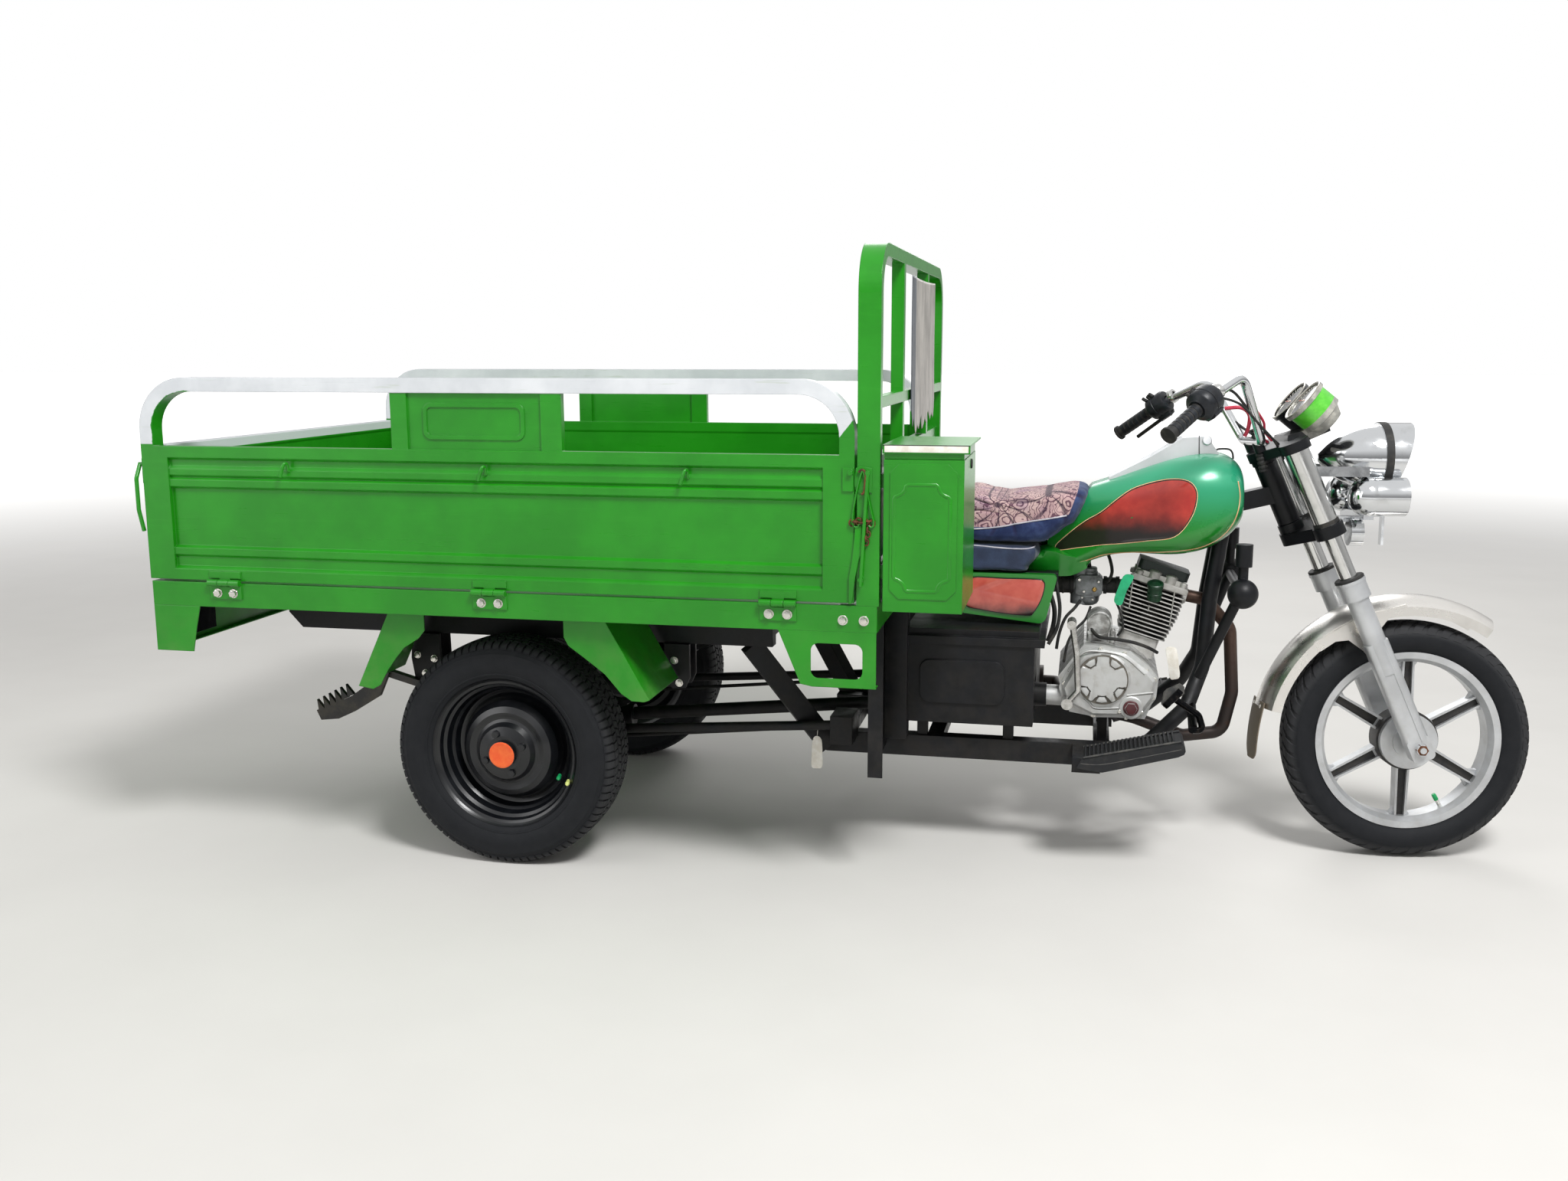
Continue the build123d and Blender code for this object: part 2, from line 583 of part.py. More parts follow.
# Clutch cover outline: X, Z and the bend there
CLUTCH_COVER = ((2190, 425, 18), (2234, 512, 30), (2288, 533, 30), (2352, 524, 30), (2410, 480, 20), (2431, 455, 16),
                (2427, 405, 20), (2392, 354, 16), (2274, 350, 16), (2203, 384, 18))
COVER_DEEP = 22.0
CLUTCH_AT = (2302, 455)
CLUTCH_RADIUS = 62.0
FIN_PITCH = 10.5


def crankcase():
    """Crankcase with its round clutch cover, oil filler and starter boss on the right."""
    x0, x1 = ENGINE_X
    z0, z1 = ENGINE_Z
    outline = shape((x0 + 12, z0 + 50), (x0 + 30, z0 + 10), (x0 + 90, z0), (x1 - 30, z0), (x1 - 6, z0 + 60),
                    (x1, z0 + 105), (x1 - 25, z0 + 135), (x1 - 70, z1 - 12), (x1 - 130, z1), (x0 + 60, z1),
                    (x0 + 30, z1 - 40), (x0, z0 + 100))
    piece = across(outline, ENGINE_Y)
    face_y = ENGINE_Y[0] - COVER_DEEP
    flange = across(rounded(CLUTCH_COVER), (ENGINE_Y[0] - 6, ENGINE_Y[0] + 1))
    cover = across(offset(rounded(CLUTCH_COVER), -7), (face_y, ENGINE_Y[0]))
    cover = chamfer(cover.faces().sort_by(Axis.Y)[0].edges(), 7)
    dome = across(Pos(*CLUTCH_AT) * Circle(CLUTCH_RADIUS), (face_y - 8, face_y + 1))
    dome = chamfer(dome.faces().sort_by(Axis.Y)[0].edges(), 5)
    for index in range(6):
        notch = shape((CLUTCH_RADIUS * 0.66, 0), (CLUTCH_RADIUS + 4, -17), (CLUTCH_RADIUS + 4, 17))
        notch = Pos(*CLUTCH_AT) * Rot(0, 0, 30 + index * 60) * notch
        dome -= across(notch, (face_y - 9, face_y - 3))
    filler = across(Pos(2367, 383) * Circle(25), (face_y - 4, ENGINE_Y[0]))
    filler += across(Pos(2367, 383) * RegularPolygon(15, 6), (face_y - 14, face_y - 3))
    piece += flange + cover + dome + filler
    piece += across(Pos(2285, 578) * Circle(31), (-105, -30))
    piece += block((2262, 2308), (-90, -30), (z1 - 2, 572))
    piece += rod((2160, DRIVE_Y, DRIVE_FRONT_Z), (2225, DRIVE_Y, DRIVE_FRONT_Z), 26)
    left_cover = Pos(2330, 440) * Circle(78)
    piece += across(left_cover, (ENGINE_Y[1] - 1, ENGINE_Y[1] + 24))
    return piece


def cylinder():
    """Leaning cylinder with cooling fins, head and rocker cover."""
    lean = radians(CYLINDER_LEAN)
    up = Vector(sin(lean), 0, cos(lean))
    foot = Vector(CYLINDER_FOOT[0], 0, CYLINDER_FOOT[1])
    base = Plane(foot, x_dir=Vector(cos(lean), 0, -sin(lean)), z_dir=up)
    barrel = extrude(base * Circle(44), amount=190)
    piece = barrel + extrude(base.offset(-40) * RectangleRounded(96, 100, 10), amount=50)
    for index in range(FINS):
        long = 122 + min(index, 6) * 3.5
        piece += extrude(base.offset(14 + index * FIN_PITCH) * RectangleRounded(long, 118, 14), amount=2.6)
    head_low = 14 + FINS * FIN_PITCH
    piece += extrude(base.offset(head_low - 2) * RectangleRounded(112, 104, 12), amount=34)
    cover = extrude(base.offset(head_low + 32) * RectangleRounded(128, 92, 14), amount=24)
    piece += cover
    piece += rod((2424, 0, PORT[2] + 14), PORT, 21) + rod((2424, 0, INLET[2]), INLET, 19)
    return largest(piece - crankcase())


PORT = (2498.0, 0.0, 640.0)
INLET = (2342.0, 0.0, 660.0)


def carburettor():
    """Carburettor body, float bowl, inlet stub to the head and hose to the air box."""
    piece = rod((2236, 0, 660), (2236, 0, 704), 22)
    piece += rod((2236, 0, 612), (2236, 0, 650), 26)
    piece += rod((2150, 0, 660), (2272, 0, 660), 22)
    piece += rod((2270, 0, 660), INLET, 17)
    return piece


EXHAUST_RADIUS = 16.0
MUFFLER_X = (1815.0, 2140.0)
MUFFLER_AT = (302.0, 330.0)


def exhaust():
    """Pipe from the head, down between the down tubes, back under the engine to the silencer."""
    y, z = MUFFLER_AT
    points = [(PORT[0] + 0.3, 0, PORT[2] - 0.05), (2545, 0, PORT[2] - 8.44), (2608, -4, 560), (2618, -30, 400), (2596, -40, 300), (2500, -40, 284),
              (2380, -20, 320), (2270, 60, 320), (2205, 190, 326), (2180, y, z), (MUFFLER_X[1] - 1, y, z)]
    pipe = bent_tube(points, [24, 40, 60, 36, 40, 50, 60, 50, 22], EXHAUST_RADIUS)
    silencer = rod((MUFFLER_X[0], y, z), (MUFFLER_X[1], y, z), 44)
    tail = rod((MUFFLER_X[0] + 24, y + 30, z), (MUFFLER_X[0] + 24, y + 76, z), 12)
    return pipe + silencer + tail


def foot_controls():
    """Kick lever on the crankcase and brake pedal ahead of the right footboard."""
    y = ENGINE_Y[0] - 50
    kick = rod((2212, ENGINE_Y[0] - 0.0, 392), (2212, y - 8, 392), 14)
    kick += bent_tube([(2212, y, 392), (2238, y, 425), (2232, y, 520), (2218, y, 600), (2218, y - 45, 604)],
                      [12, 30, 8], 8)
    kick += rod((2218, y - 20, 604), (2218, y - 75, 604), 11)
    kick = largest(kick - crankcase())
    arm_y = -LOWER_Y - LOWER_WIDE / 2
    brake = largest(rod((2512, arm_y - 28, 352), (2512, -150, 392), 11) - down_tubes()[0])
    brake += bent_tube([(2512, arm_y - 22, 350), (2536, arm_y - 22, 350), (2524, arm_y - 22, 388),
                        (2462, arm_y - 22, 428)], [10, 20], 8)
    pad = Plane(Vector(2466, arm_y - 20, 424), x_dir=Vector(0.66, 0, 0.75), z_dir=Vector(-0.75, 0, 0.66))
    brake += extrude(pad * RectangleRounded(58, 46, 12), amount=15)
    return [kick, brake]


# Tank sections: X, foot, top, half width, bend of the upper corners and of the lower ones
TANK_SECTIONS = (
    (2150, 736, 860, 66, 26, 16),
    (2204, 712, 900, 86, 40, 22),
    (2300, 748, 936, 112, 62, 30),
    (2420, 757, 980, 140, 86, 44),
    (2520, 768, 1003, 147, 96, 58),
    (2590, 808, 990, 124, 84, 54),
    (2618, 850, 944, 86, 44, 34),
)


def rounded(rows):
    """Closed outline from rows of two places and a bend."""
    outline = shape(*[row[:2] for row in rows])
    for x, y, bend in rows:
        corner = outline.vertices().sort_by_distance((x, y, 0))[0]
        outline = fillet(corner, bend)
    return outline


def tank_section(foot, top, half, upper, lower):
    """Section across the tank: narrower at the top, its corners bent."""
    outline = shape((-half, foot), (half, foot), (half * 0.8, top), (-half * 0.8, top))
    outline = fillet(outline.vertices().group_by(Axis.Y)[0], lower)
    return fillet(outline.vertices().group_by(Axis.Y)[-1], upper)


def fuel_tank():
    """Teardrop tank lofted through rounded sections, cut away under the cushion and over the frame."""
    piece = loft([Plane.YZ.offset(row[0]) * tank_section(*row[1:]) for row in TANK_SECTIONS])
    piece -= across(shape((2100, 700), (2150, 700), (2150, 780), (2262, 928), (2262, 1000), (2100, 1000)), (-200, 200))
    tunnel = block((2100, 2640), (-30, 30), (600, 905))
    slope = (SPINE_FRONT[2] - SPINE_REAR[2]) / (SPINE_FRONT[0] - SPINE_REAR[0])
    top = SPINE_DEEP / 2 * sqrt(1 + slope * slope)
    rear_roof = SPINE_REAR[2] + top - slope * (SPINE_REAR[0] - 2100)
    front_roof = SPINE_REAR[2] + top + slope * (2548 - SPINE_REAR[0])
    roof = shape((2100, 600), (2640, 600), (2640, front_roof + 32), (2548, front_roof), (2100, rear_roof))
    piece -= tunnel & across(roof, (-30, 30))
    return piece - block((2530, 2640), (-68, 68), (700, 884))


def tank_console():
    """Wedge of plated trim along the top of the tank, with the filler cap."""
    outline = shape((2296, 880), (2296, 940), (2394, 992), (2470, 1040), (2528, 1044), (2556, 1004), (2556, 940))
    piece = across(outline, (-46, 46)) - fuel_tank()
    return largest(piece)


def seat_base():
    """Padded blue seat block on the seat rails."""
    outline = shape((POST_X[1] + 20, SEAT_RAIL_Z[1]), (2103, SEAT_RAIL_Z[1]), (2138, 752), (2130, 776),
                    (POST_X[1] + 20, 782))
    return across(outline, (-150, 150))


def seat_cushion():
    """Loose cushion tied on the seat, deeper at the back, its front edge against the tank."""
    rows = ((POST_X[1] + 22, 782.2, 12), (2130, 776.2, 10), (2150, 792, 8), (2256, 925, 20), (2195, 936, 50),
            (2050, 898, 80), (1960, 914, 60), (POST_X[1] + 22, 900, 30))
    piece = across(rounded(rows), (-155, 155))
    return piece


def side_covers():
    """Pressed covers below the seat, each with a raised inset."""
    outline = rounded(((1850, 612, 15), (2150, 580, 20), (2180, 705, 10), (1850, 705, 8)))
    inset = rounded(((1870, 628, 12), (2120, 604, 16), (2146, 678, 10), (1870, 672, 10)))
    cover = across(outline, (-148, -123)) + across(inset, (-152, -147))
    return both(cover)


BATTERY_X = (1815.0, 2131.0)
BATTERY_Z = (340.0, 560.0)
BATTERY_Y = 245.0


def battery_box():
    """Black box for battery and tools on the lower rails, with a stepped lid and pressed sides."""
    body = block(BATTERY_X, (-BATTERY_Y, BATTERY_Y), BATTERY_Z)
    lid = block((BATTERY_X[0] - 5, BATTERY_X[1] + 24), (-BATTERY_Y - 6, BATTERY_Y + 6), (BATTERY_Z[1] - 20, BATTERY_Z[1]))
    top = block((BATTERY_X[0], BATTERY_X[1] + 10), (-BATTERY_Y + 10, BATTERY_Y - 10), (BATTERY_Z[1], 576))
    press = across(Pos(1956, 446) * RectangleRounded(208, 108, 26), (-BATTERY_Y - 6, -BATTERY_Y + 1))
    piece = body + lid + top + press + mirrored(press)
    piece -= block((BATTERY_X[0] - 10, BATTERY_X[1] + 30), (DRIVE_Y - 45, DRIVE_Y + 45), (BATTERY_Z[0] - 1, 440))
    for x in (1855.0, 2070.0):
        tab = block((x - 13, x + 13), (-LOWER_Y - 12, -LOWER_Y + 12), (LOWER_Z[1], BATTERY_Z[0] + 1))
        piece += tab + mirrored(tab)
    return piece


def footboards():
    """Ribbed foot rests on brackets outside the lower rails."""
    inner = -LOWER_Y - LOWER_WIDE / 2
    bracket = block((2229, 2307), (inner - 120, inner), (LOWER_Z[0] + 2, LOWER_Z[1]))
    tray = across(shape((2240, 270), (2300, 262), (2490, 322), (2484, 346), (2250, 290)), (inner - 130, inner - 20))
    piece = bracket + tray
    slope = degrees(atan2(346 - 290, 2484 - 2250))
    for index in range(9):
        x = 2266 + index * 24
        z = 290 + (x - 2250) * (346 - 290) / (2484 - 2250)
        piece += Pos(x, inner - 75, z + 2) * Rot(0, -slope, 0) * Box(12, 96, 14)
    return both(piece)


def leg_guard():
    """Tube guard across the down tubes with a ball at each end and stays down to the cradle."""
    z = 678.0
    x = 2616.0
    bar = rod((x, -178, z), (x, 178, z), 12)
    piece = bar
    for side in (-1, 1):
        piece += Pos(x, side * 180, z) * Sphere(36)
        piece += rod((x, side * 165, z + 20), (x, side * 165, z + 66), 12)
        piece += rod((x, side * 165, z + 64), (x, side * 165, z + 118), 20)
        piece += rod((x, side * 150, z), (2524, side * 108, 442), 13)
    for tube in down_tubes():
        piece -= tube
    return piece


def leaf_springs():
    """Stacked leaves on the axle with an eye bracket at each end."""
    y = (-RAIL_Y - RAIL_WIDE / 2 - 2, -RAIL_Y + RAIL_WIDE / 2 + 8)
    thick = 8.0
    pieces = []
    seat = REAR_AXLE_Z + AXLE_TUBE + SPRING_PAD + 5 * thick
    span = ((588.0, 446.0), (1255.0, 446.0))
    rise = span[0][1] - seat
    for index in range(5):
        share = 1 - index * 0.17
        x0 = REAR_AXLE_X + (span[0][0] - REAR_AXLE_X) * share
        x1 = REAR_AXLE_X + (span[1][0] - REAR_AXLE_X) * share
        drop = seat + rise * share * share - index * thick
        low = seat - index * thick
        leaf = make_leaf((x0, drop), (REAR_AXLE_X, low), (x1, drop), thick)
        pieces.append(across(leaf, y))
    stack = pieces[0]
    for leaf in pieces[1:]:
        stack += leaf
    for x, z in span:
        stack += rod((x, y[0], z), (x, y[1], z), 15)
    outer, inner = -RAIL_Y - RAIL_WIDE / 2 - 10, -RAIL_Y - RAIL_WIDE / 2
    rear = shape((545, RAIL_Z[0]), (540, 470), (552, 396), (600, 384), (622, 470), (620, RAIL_Z[0]))
    front = shape((1225, RAIL_Z[0]), (1226, 440), (1245, 422), (1278, 424), (1290, 450), (1290, RAIL_Z[0]))
    for outline in (rear, front):
        stack += across(outline, (outer, inner + 0.0))
        stack += across(outline, (inner + 48, inner + 56))
    return both(stack)


REAR_AXLE_Z = REAR_RADIUS


def make_leaf(start, middle, end, thick):
    """Flat outline of one bowed leaf through three places on its upper face."""
    upper = ThreePointArc(start, middle, end)
    lower = ThreePointArc((start[0], start[1] - thick), (middle[0], middle[1] - thick), (end[0], end[1] - thick))
    edges = [upper, Line(end, (end[0], end[1] - thick)), lower, Line((start[0], start[1] - thick), start)]
    return make_face(edges)


def rear_axle():
    """Axle tube, differential case and spring pads."""
    z = REAR_AXLE_Z
    end = HALF_TRACK - 100
    stub = HALF_TRACK + 36
    piece = rod((REAR_AXLE_X, -end, z), (REAR_AXLE_X, end, z), AXLE_TUBE)
    piece += rod((REAR_AXLE_X, -stub, z), (REAR_AXLE_X, stub, z), STUB_RADIUS)
    piece += Pos(REAR_AXLE_X, DRIVE_Y, z) * Sphere(92)
    piece += rod((REAR_AXLE_X, DRIVE_Y, z), (REAR_AXLE_X + 150, DRIVE_Y, z), 38)
    for side in (-1, 1):
        y = side * (RAIL_Y + 6)
        piece += block((REAR_AXLE_X - 50, REAR_AXLE_X + 50), (y - 28, y + 28), (z, z + AXLE_TUBE + SPRING_PAD))
    for spring in leaf_springs():
        piece -= spring
    return piece


AXLE_TUBE = 30.0
SPRING_PAD = 4.0
STUB_RADIUS = 18.0
DRIVE_Y = -120.0
DRIVE_FRONT_Z = 394.0


def drive_shaft():
    """Propeller shaft from the gearbox to the differential, with its two joints."""
    rear = (REAR_AXLE_X + 150, DRIVE_Y, REAR_AXLE_Z)
    front = (2160.0, DRIVE_Y, DRIVE_FRONT_Z)
    piece = rod(rear, front, 17)
    for point in (rear, front):
        piece += rod(point, (point[0] + (50 if point is rear else -50), DRIVE_Y, point[2]), 30)
    return piece & block((rear[0], front[0]), (DRIVE_Y - 40, DRIVE_Y + 40), (200, 500))


def thrust_rods():
    """Rods that hold the axle fore and aft, and the thinner brake rods beside them."""
    y = -THRUST_Y
    start = (REAR_AXLE_X + 30, y, REAR_AXLE_Z - 4)
    end = (1636.0, y, 330.0)
    tube = rod((REAR_AXLE_X, y - 20, REAR_AXLE_Z), (REAR_AXLE_X, y + 20, REAR_AXLE_Z), AXLE_TUBE)
    piece = rod(start, end, 12) - tube
    for solid in frame_drops():
        piece -= solid
    brake_y = -THRUST_Y + 28
    lever = block((REAR_AXLE_X - 12, REAR_AXLE_X + 40), (brake_y - 5, brake_y + 5), (238, 262))
    brake = lever + rod((REAR_AXLE_X + 30, brake_y, 246), (1636.0, brake_y, 320), BRAKE_ROD_RADIUS)
    tube = rod((REAR_AXLE_X, brake_y - 20, REAR_AXLE_Z), (REAR_AXLE_X, brake_y + 20, REAR_AXLE_Z), AXLE_TUBE)
    brake -= tube
    for solid in frame_drops():
        brake -= solid
    return both(largest(piece), largest(brake))


THRUST_Y = 290.0
BRAKE_ROD_RADIUS = 5.0


def rear_wheel_outline():
    """Steel wheel in section: radius and place along the axle, outboard positive."""
    half = REAR_RIM_WIDE / 2
    rim = REAR_RIM_RADIUS
    outer = ((0, 68), (44, 66), (66, 58), (75, 46), (82, 42), (88, 43), (98, 46), (112, 38), (124, 20), (130, 0),
             (137, -10), (146, -6), (151, 14), (157, 20), (163, 36), (170, 42), (174, half - 12), (rim - 5, half - 7),
             (rim, half))
    inner = ((rim - 3, half - 4), (rim - 12, half - 14), (172, half - 22), (166, 34), (160, 14), (156, -14),
             (172, -40), (174, -half + 12), (rim - 6, -half + 8), (rim, -half), (rim - 8, -half + 3), (168, -half + 10),
             (166, -44), (148, -20), (134, -20), (124, -6), (110, 26), (96, 38), (84, 36), (70, 40), (60, 50), (0, 58))
    return shape(*(outer + inner))


def rear_wheel(side):
    """Steel disc wheel with brake drum, four bolts and a centre cap; side is -1 for the right."""
    outline = rear_wheel_outline() if side > 0 else mirror(rear_wheel_outline(), about=Plane.XZ)
    y = side * HALF_TRACK
    piece = spun(outline, REAR_AXLE_X, y, REAR_AXLE_Z)
    drum_in = y - side * 96
    piece += rod((REAR_AXLE_X, drum_in, REAR_AXLE_Z), (REAR_AXLE_X, y + side * 20, REAR_AXLE_Z), 86)
    piece += rod((REAR_AXLE_X, y + side * 18, REAR_AXLE_Z), (REAR_AXLE_X, y + side * 60, REAR_AXLE_Z), 56)
    piece += rod((REAR_AXLE_X, y + side * 66, REAR_AXLE_Z), (REAR_AXLE_X, y + side * CAP_OUT, REAR_AXLE_Z), CAP_RADIUS)
    for index in range(4):
        angle = radians(22 + 90 * index)
        x, z = REAR_AXLE_X + 52 * cos(angle), REAR_AXLE_Z + 52 * sin(angle)
        piece += rod((x, y + side * 50, z), (x, y + side * 68, z), 9)
    return piece - rod((REAR_AXLE_X, y - side * 120, REAR_AXLE_Z), (REAR_AXLE_X, y + side * 37, REAR_AXLE_Z), STUB_RADIUS + 0.08)


def tyre_outline(radius, wide, seat, tread):
    """Half section of a tyre: tread crown, rounded shoulder, side wall and bead."""
    half = wide / 2
    mid = (radius + seat) / 2
    shoulder = radius - (half - tread) * 0.55
    edges = [
        ThreePointArc((shoulder, -tread), (radius, 0), (shoulder, tread)),
        ThreePointArc((shoulder, tread), (mid, half), (seat, tread * 0.86)),
        Line((seat, tread * 0.86), (seat, -tread * 0.86)),
        ThreePointArc((seat, -tread * 0.86), (mid, -half), (shoulder, -tread)),
    ]
    return make_face(edges)


def rear_tyre(side):
    """Car-size road tyre on the steel wheel."""
    outline = tyre_outline(REAR_RADIUS, REAR_TYRE_WIDE, 175.5, 66)
    y = side * HALF_TRACK
    wheel = rear_wheel_outline() if side > 0 else mirror(rear_wheel_outline(), about=Plane.XZ)
    return spun(outline, REAR_AXLE_X, y, REAR_AXLE_Z) - spun(wheel, REAR_AXLE_X, y, REAR_AXLE_Z)


def front_tyre():
    """Narrow motorcycle tyre."""
    outline = tyre_outline(FRONT_RADIUS, FRONT_TYRE_WIDE, 212.5, 40)
    return spun(outline, FRONT_AXLE.X, 0, FRONT_AXLE.Z) - spun(front_rim_outline(), FRONT_AXLE.X, 0, FRONT_AXLE.Z)


SPOKES = 6


def front_rim_outline():
    """Front rim in section: radius and place along the axle."""
    half = FRONT_RIM_WIDE / 2
    rim = FRONT_RIM_RADIUS
    return shape((196, -24), (206, -half + 2), (rim - 4, -half), (rim, -half), (rim, -half + 4), (212, -half + 6),
                 (206, -14), (206, 14), (212, half - 6), (rim, half - 4), (rim, half), (rim - 4, half),
                 (206, half - 2), (196, 24))


def front_wheel():
    """Cast wheel: rim, brake drum and six spokes, each a thin web between two edge ribs."""
    piece = spun(front_rim_outline(), 0, 0, 0)
    piece += rod((0, -36, 0), (0, 22, 0), HUB_RADIUS) + rod((0, 20, 0), (0, 44, 0), 38)
    web = shape((60, -16), (176, -13), (202, -30), (202, 30), (176, 13), (60, 16))
    rib = shape((60, 11), (202, 9), (202, 14), (60, 17))
    for index in range(SPOKES):
        turn = Rot(0, 30 + index * 360 / SPOKES, 0)
        piece += turn * across(web, (-7, 7))
        piece += turn * across(rib, (-17, 17)) + turn * across(mirror(rib, about=Plane.XZ), (-17, 17))
    piece -= rod((0, -60, 0), (0, 60, 0), AXLE_RADIUS + 0.08)
    return Pos(FRONT_AXLE) * piece


AXLE_RADIUS = 7.5


def front_axle():
    """Axle with its nuts and the brake panel that stays with the fork."""
    centre = FRONT_AXLE
    piece = rod(centre - Vector(0, 154, 0), centre + Vector(0, 154, 0), AXLE_RADIUS)
    for side in (-1, 1):
        piece += rod(centre + Vector(0, side * 138.5, 0), centre + Vector(0, side * 150, 0), 14)
    piece += rod(centre + Vector(0, -50, 0), centre + Vector(0, -37, 0), BRAKE_PANEL_RADIUS)
    piece += rod(centre + Vector(0, -60, 0), centre + Vector(0, -49, 0), 40)
    piece += rod(centre + Vector(0, -91.5, 0), centre + Vector(0, -59, 0), 18)
    piece += rod(centre + Vector(0, 45, 0), centre + Vector(0, 91.5, 0), 16)
    return piece


def fork_sliders():
    """Cast lower legs with a collar at the top and a lug at the axle."""
    foot = Plane(fork_at(20, 0, -LEG_Y), x_dir=RAKE_FORE, z_dir=RAKE_BACK)
    leg = rod(fork_at(200, 0, -LEG_Y), fork_at(SLIDER_TOP - 40, 0, -LEG_Y), SLIDER_RADIUS)
    leg += extrude(foot * RectangleRounded(56, 44, 12), amount=262)
    leg += extrude(foot * (Pos(10, -20) * Rectangle(5, 8)), amount=240)
    leg += rod(fork_at(SLIDER_TOP - 48, 0, -LEG_Y), fork_at(SLIDER_TOP - 6, 0, -LEG_Y), 34)
    leg += rod(fork_at(SLIDER_TOP - 8, 0, -LEG_Y), fork_at(SLIDER_TOP, 0, -LEG_Y), 36)
    lug = Plane(fork_at(0, 0, -LEG_Y + 21), x_dir=RAKE_FORE, z_dir=(0, -1, 0))
    leg += extrude(lug * RectangleRounded(54, 62, 12), amount=42)
    leg -= rod(fork_at(0, 0, -160), fork_at(0, 0, 0), AXLE_RADIUS + 0.02)
    return both(leg)


def fork_tubes():
    """Bright upper tubes and the covers between the yokes."""
    tube = rod(fork_at(SLIDER_TOP, 0, -LEG_Y), fork_at(LOW_YOKE[0], 0, -LEG_Y), STANCHION_RADIUS)
    cover = rod(fork_at(LOW_YOKE[1], 0, -LEG_Y), fork_at(TOP_YOKE[0], 0, -LEG_Y), COVER_RADIUS)
    return both(tube, cover)


def fork_yokes():
    """Upper and lower yokes joined by the steering stem's ends, with the handlebar clamps."""
    pieces = []
    for low, high in (LOW_YOKE, TOP_YOKE):
        plane = Plane(fork_at(low, 0, 0), x_dir=RAKE_FORE, z_dir=RAKE_BACK)
        plate = make_hull_plate(plane, high - low)
        pieces.append(plate)
    low_plate, top_plate = pieces
    gap = 1.0
    low_plate += rod(steer_at(LOW_YOKE[1]), steer_at(HEAD_TUBE[0] - gap), 30)
    low_plate += rod(steer_at(LOW_YOKE[1]), steer_at(TOP_YOKE[1]), STEM_RADIUS)
    top_plate += rod(steer_at(HEAD_TUBE[1] + gap), steer_at(TOP_YOKE[0]), 30)
    top_plate -= rod(steer_at(HEAD_TUBE[1]), steer_at(TOP_YOKE[1] + 1), STEM_RADIUS)
    for side in (-1, 1):
        foot = fork_at(TOP_YOKE[1] - 1, -FORK_OFFSET - 8, side * 46)
        top_plate += rod(foot, foot + RAKE_BACK * 26, 13)
    bar = handlebar()
    return [low_plate, top_plate - bar]


def make_hull_plate(plane, thick):
    """Yoke plate: round ends at the legs, a boss at the stem."""
    outline = Pos(0, LEG_Y) * Circle(36) + Pos(0, -LEG_Y) * Circle(36) + Pos(-FORK_OFFSET, 0) * Circle(34)
    outline += shape((30, -LEG_Y), (30, LEG_Y), (-20, LEG_Y), (-FORK_OFFSET - 26, 22), (-FORK_OFFSET - 26, -22),
                     (-20, -LEG_Y))
    return extrude(plane * outline, amount=thick, dir=plane.z_dir)


GRIP_END = Vector(2367, -389, 1046)
GRIP_ROOT = Vector(2468, -302, 1128)


def handlebar():
    """Raised bar of bright tube that sweeps back to the grips."""
    centre = fork_at(TOP_YOKE[1] + 26, -FORK_OFFSET - 8, 0)
    right = [centre, centre + Vector(0, -96, 0), Vector(2566, -196, 1184), GRIP_ROOT, GRIP_END + (GRIP_ROOT - GRIP_END) * 0.05]
    half = bent_tube(right, [32, 46, 30], BAR_RADIUS)
    return half + mirrored(half)


def grips():
    """Rubber grips and switch housings; the left one carries the clutch lever."""
    run = (GRIP_ROOT - GRIP_END).normalized()
    bare = BAR_RADIUS
    grip = rod(GRIP_END, GRIP_END + run * 118, 16)
    grip += rod(GRIP_END, GRIP_END + run * 6, 20)
    grip += rod(GRIP_END + run * 116, GRIP_END + run * 146, 24)
    ahead = Vector(0.62, 0.2, -0.2).normalized()
    start = GRIP_END + run * 134
    lever = rod(start, start + ahead * 46, 9)
    knee = start + ahead * 42
    lever += rod(knee, knee - run * 128 + Vector(8, -6, 0), 5)
    bar = rod(GRIP_END + run * 4, GRIP_ROOT + run * 60, bare + 0.02)
    return [grip - bar, mirrored(grip + lever - bar)]


def front_fender():
    """Plated fender round the front tyre, with flat stays to the fork."""
    half, wall = 62.0, 2.5
    low, waist, crown = 314.0, 337.0, 362.0
    edges = [Line((low, -half), (waist, -half)), ThreePointArc((waist, -half), (crown, 0), (waist, half)),
             Line((waist, half), (low, half)), Line((low, half), (low, half - wall)),
             Line((low, half - wall), (waist - 1, half - wall)),
             ThreePointArc((waist - 1, half - wall), (crown - wall, 0), (waist - 1, wall - half)),
             Line((waist - 1, wall - half), (low, wall - half)), Line((low, wall - half), (low, -half))]
    section = make_face(edges)
    ring = revolve(Plane.XY * section, axis=Axis.Y, revolution_arc=111)
    piece = Rot(0, 192, 0) * ring
    piece = Pos(FRONT_AXLE - Vector(6, 0, 0)) * piece
    for y in (-1, 1):
        low, high = sorted((y * half, y * (LEG_Y - 14)))
        stay = Plane(fork_at(316, 0, high), x_dir=RAKE_FORE, z_dir=(0, -1, 0))
        bar = extrude(stay * RectangleRounded(30, 40, 6), amount=high - low)
        piece += bar - rod(fork_at(200, 0, y * LEG_Y), fork_at(SLIDER_TOP, 0, y * LEG_Y), SLIDER_RADIUS)
        side = Plane(fork_at(0, 0, max(y * half, y * (half + 4))), x_dir=RAKE_FORE, z_dir=(0, -1, 0))
        piece += extrude(side * shape(*FENDER_WEB), amount=4)
    return piece


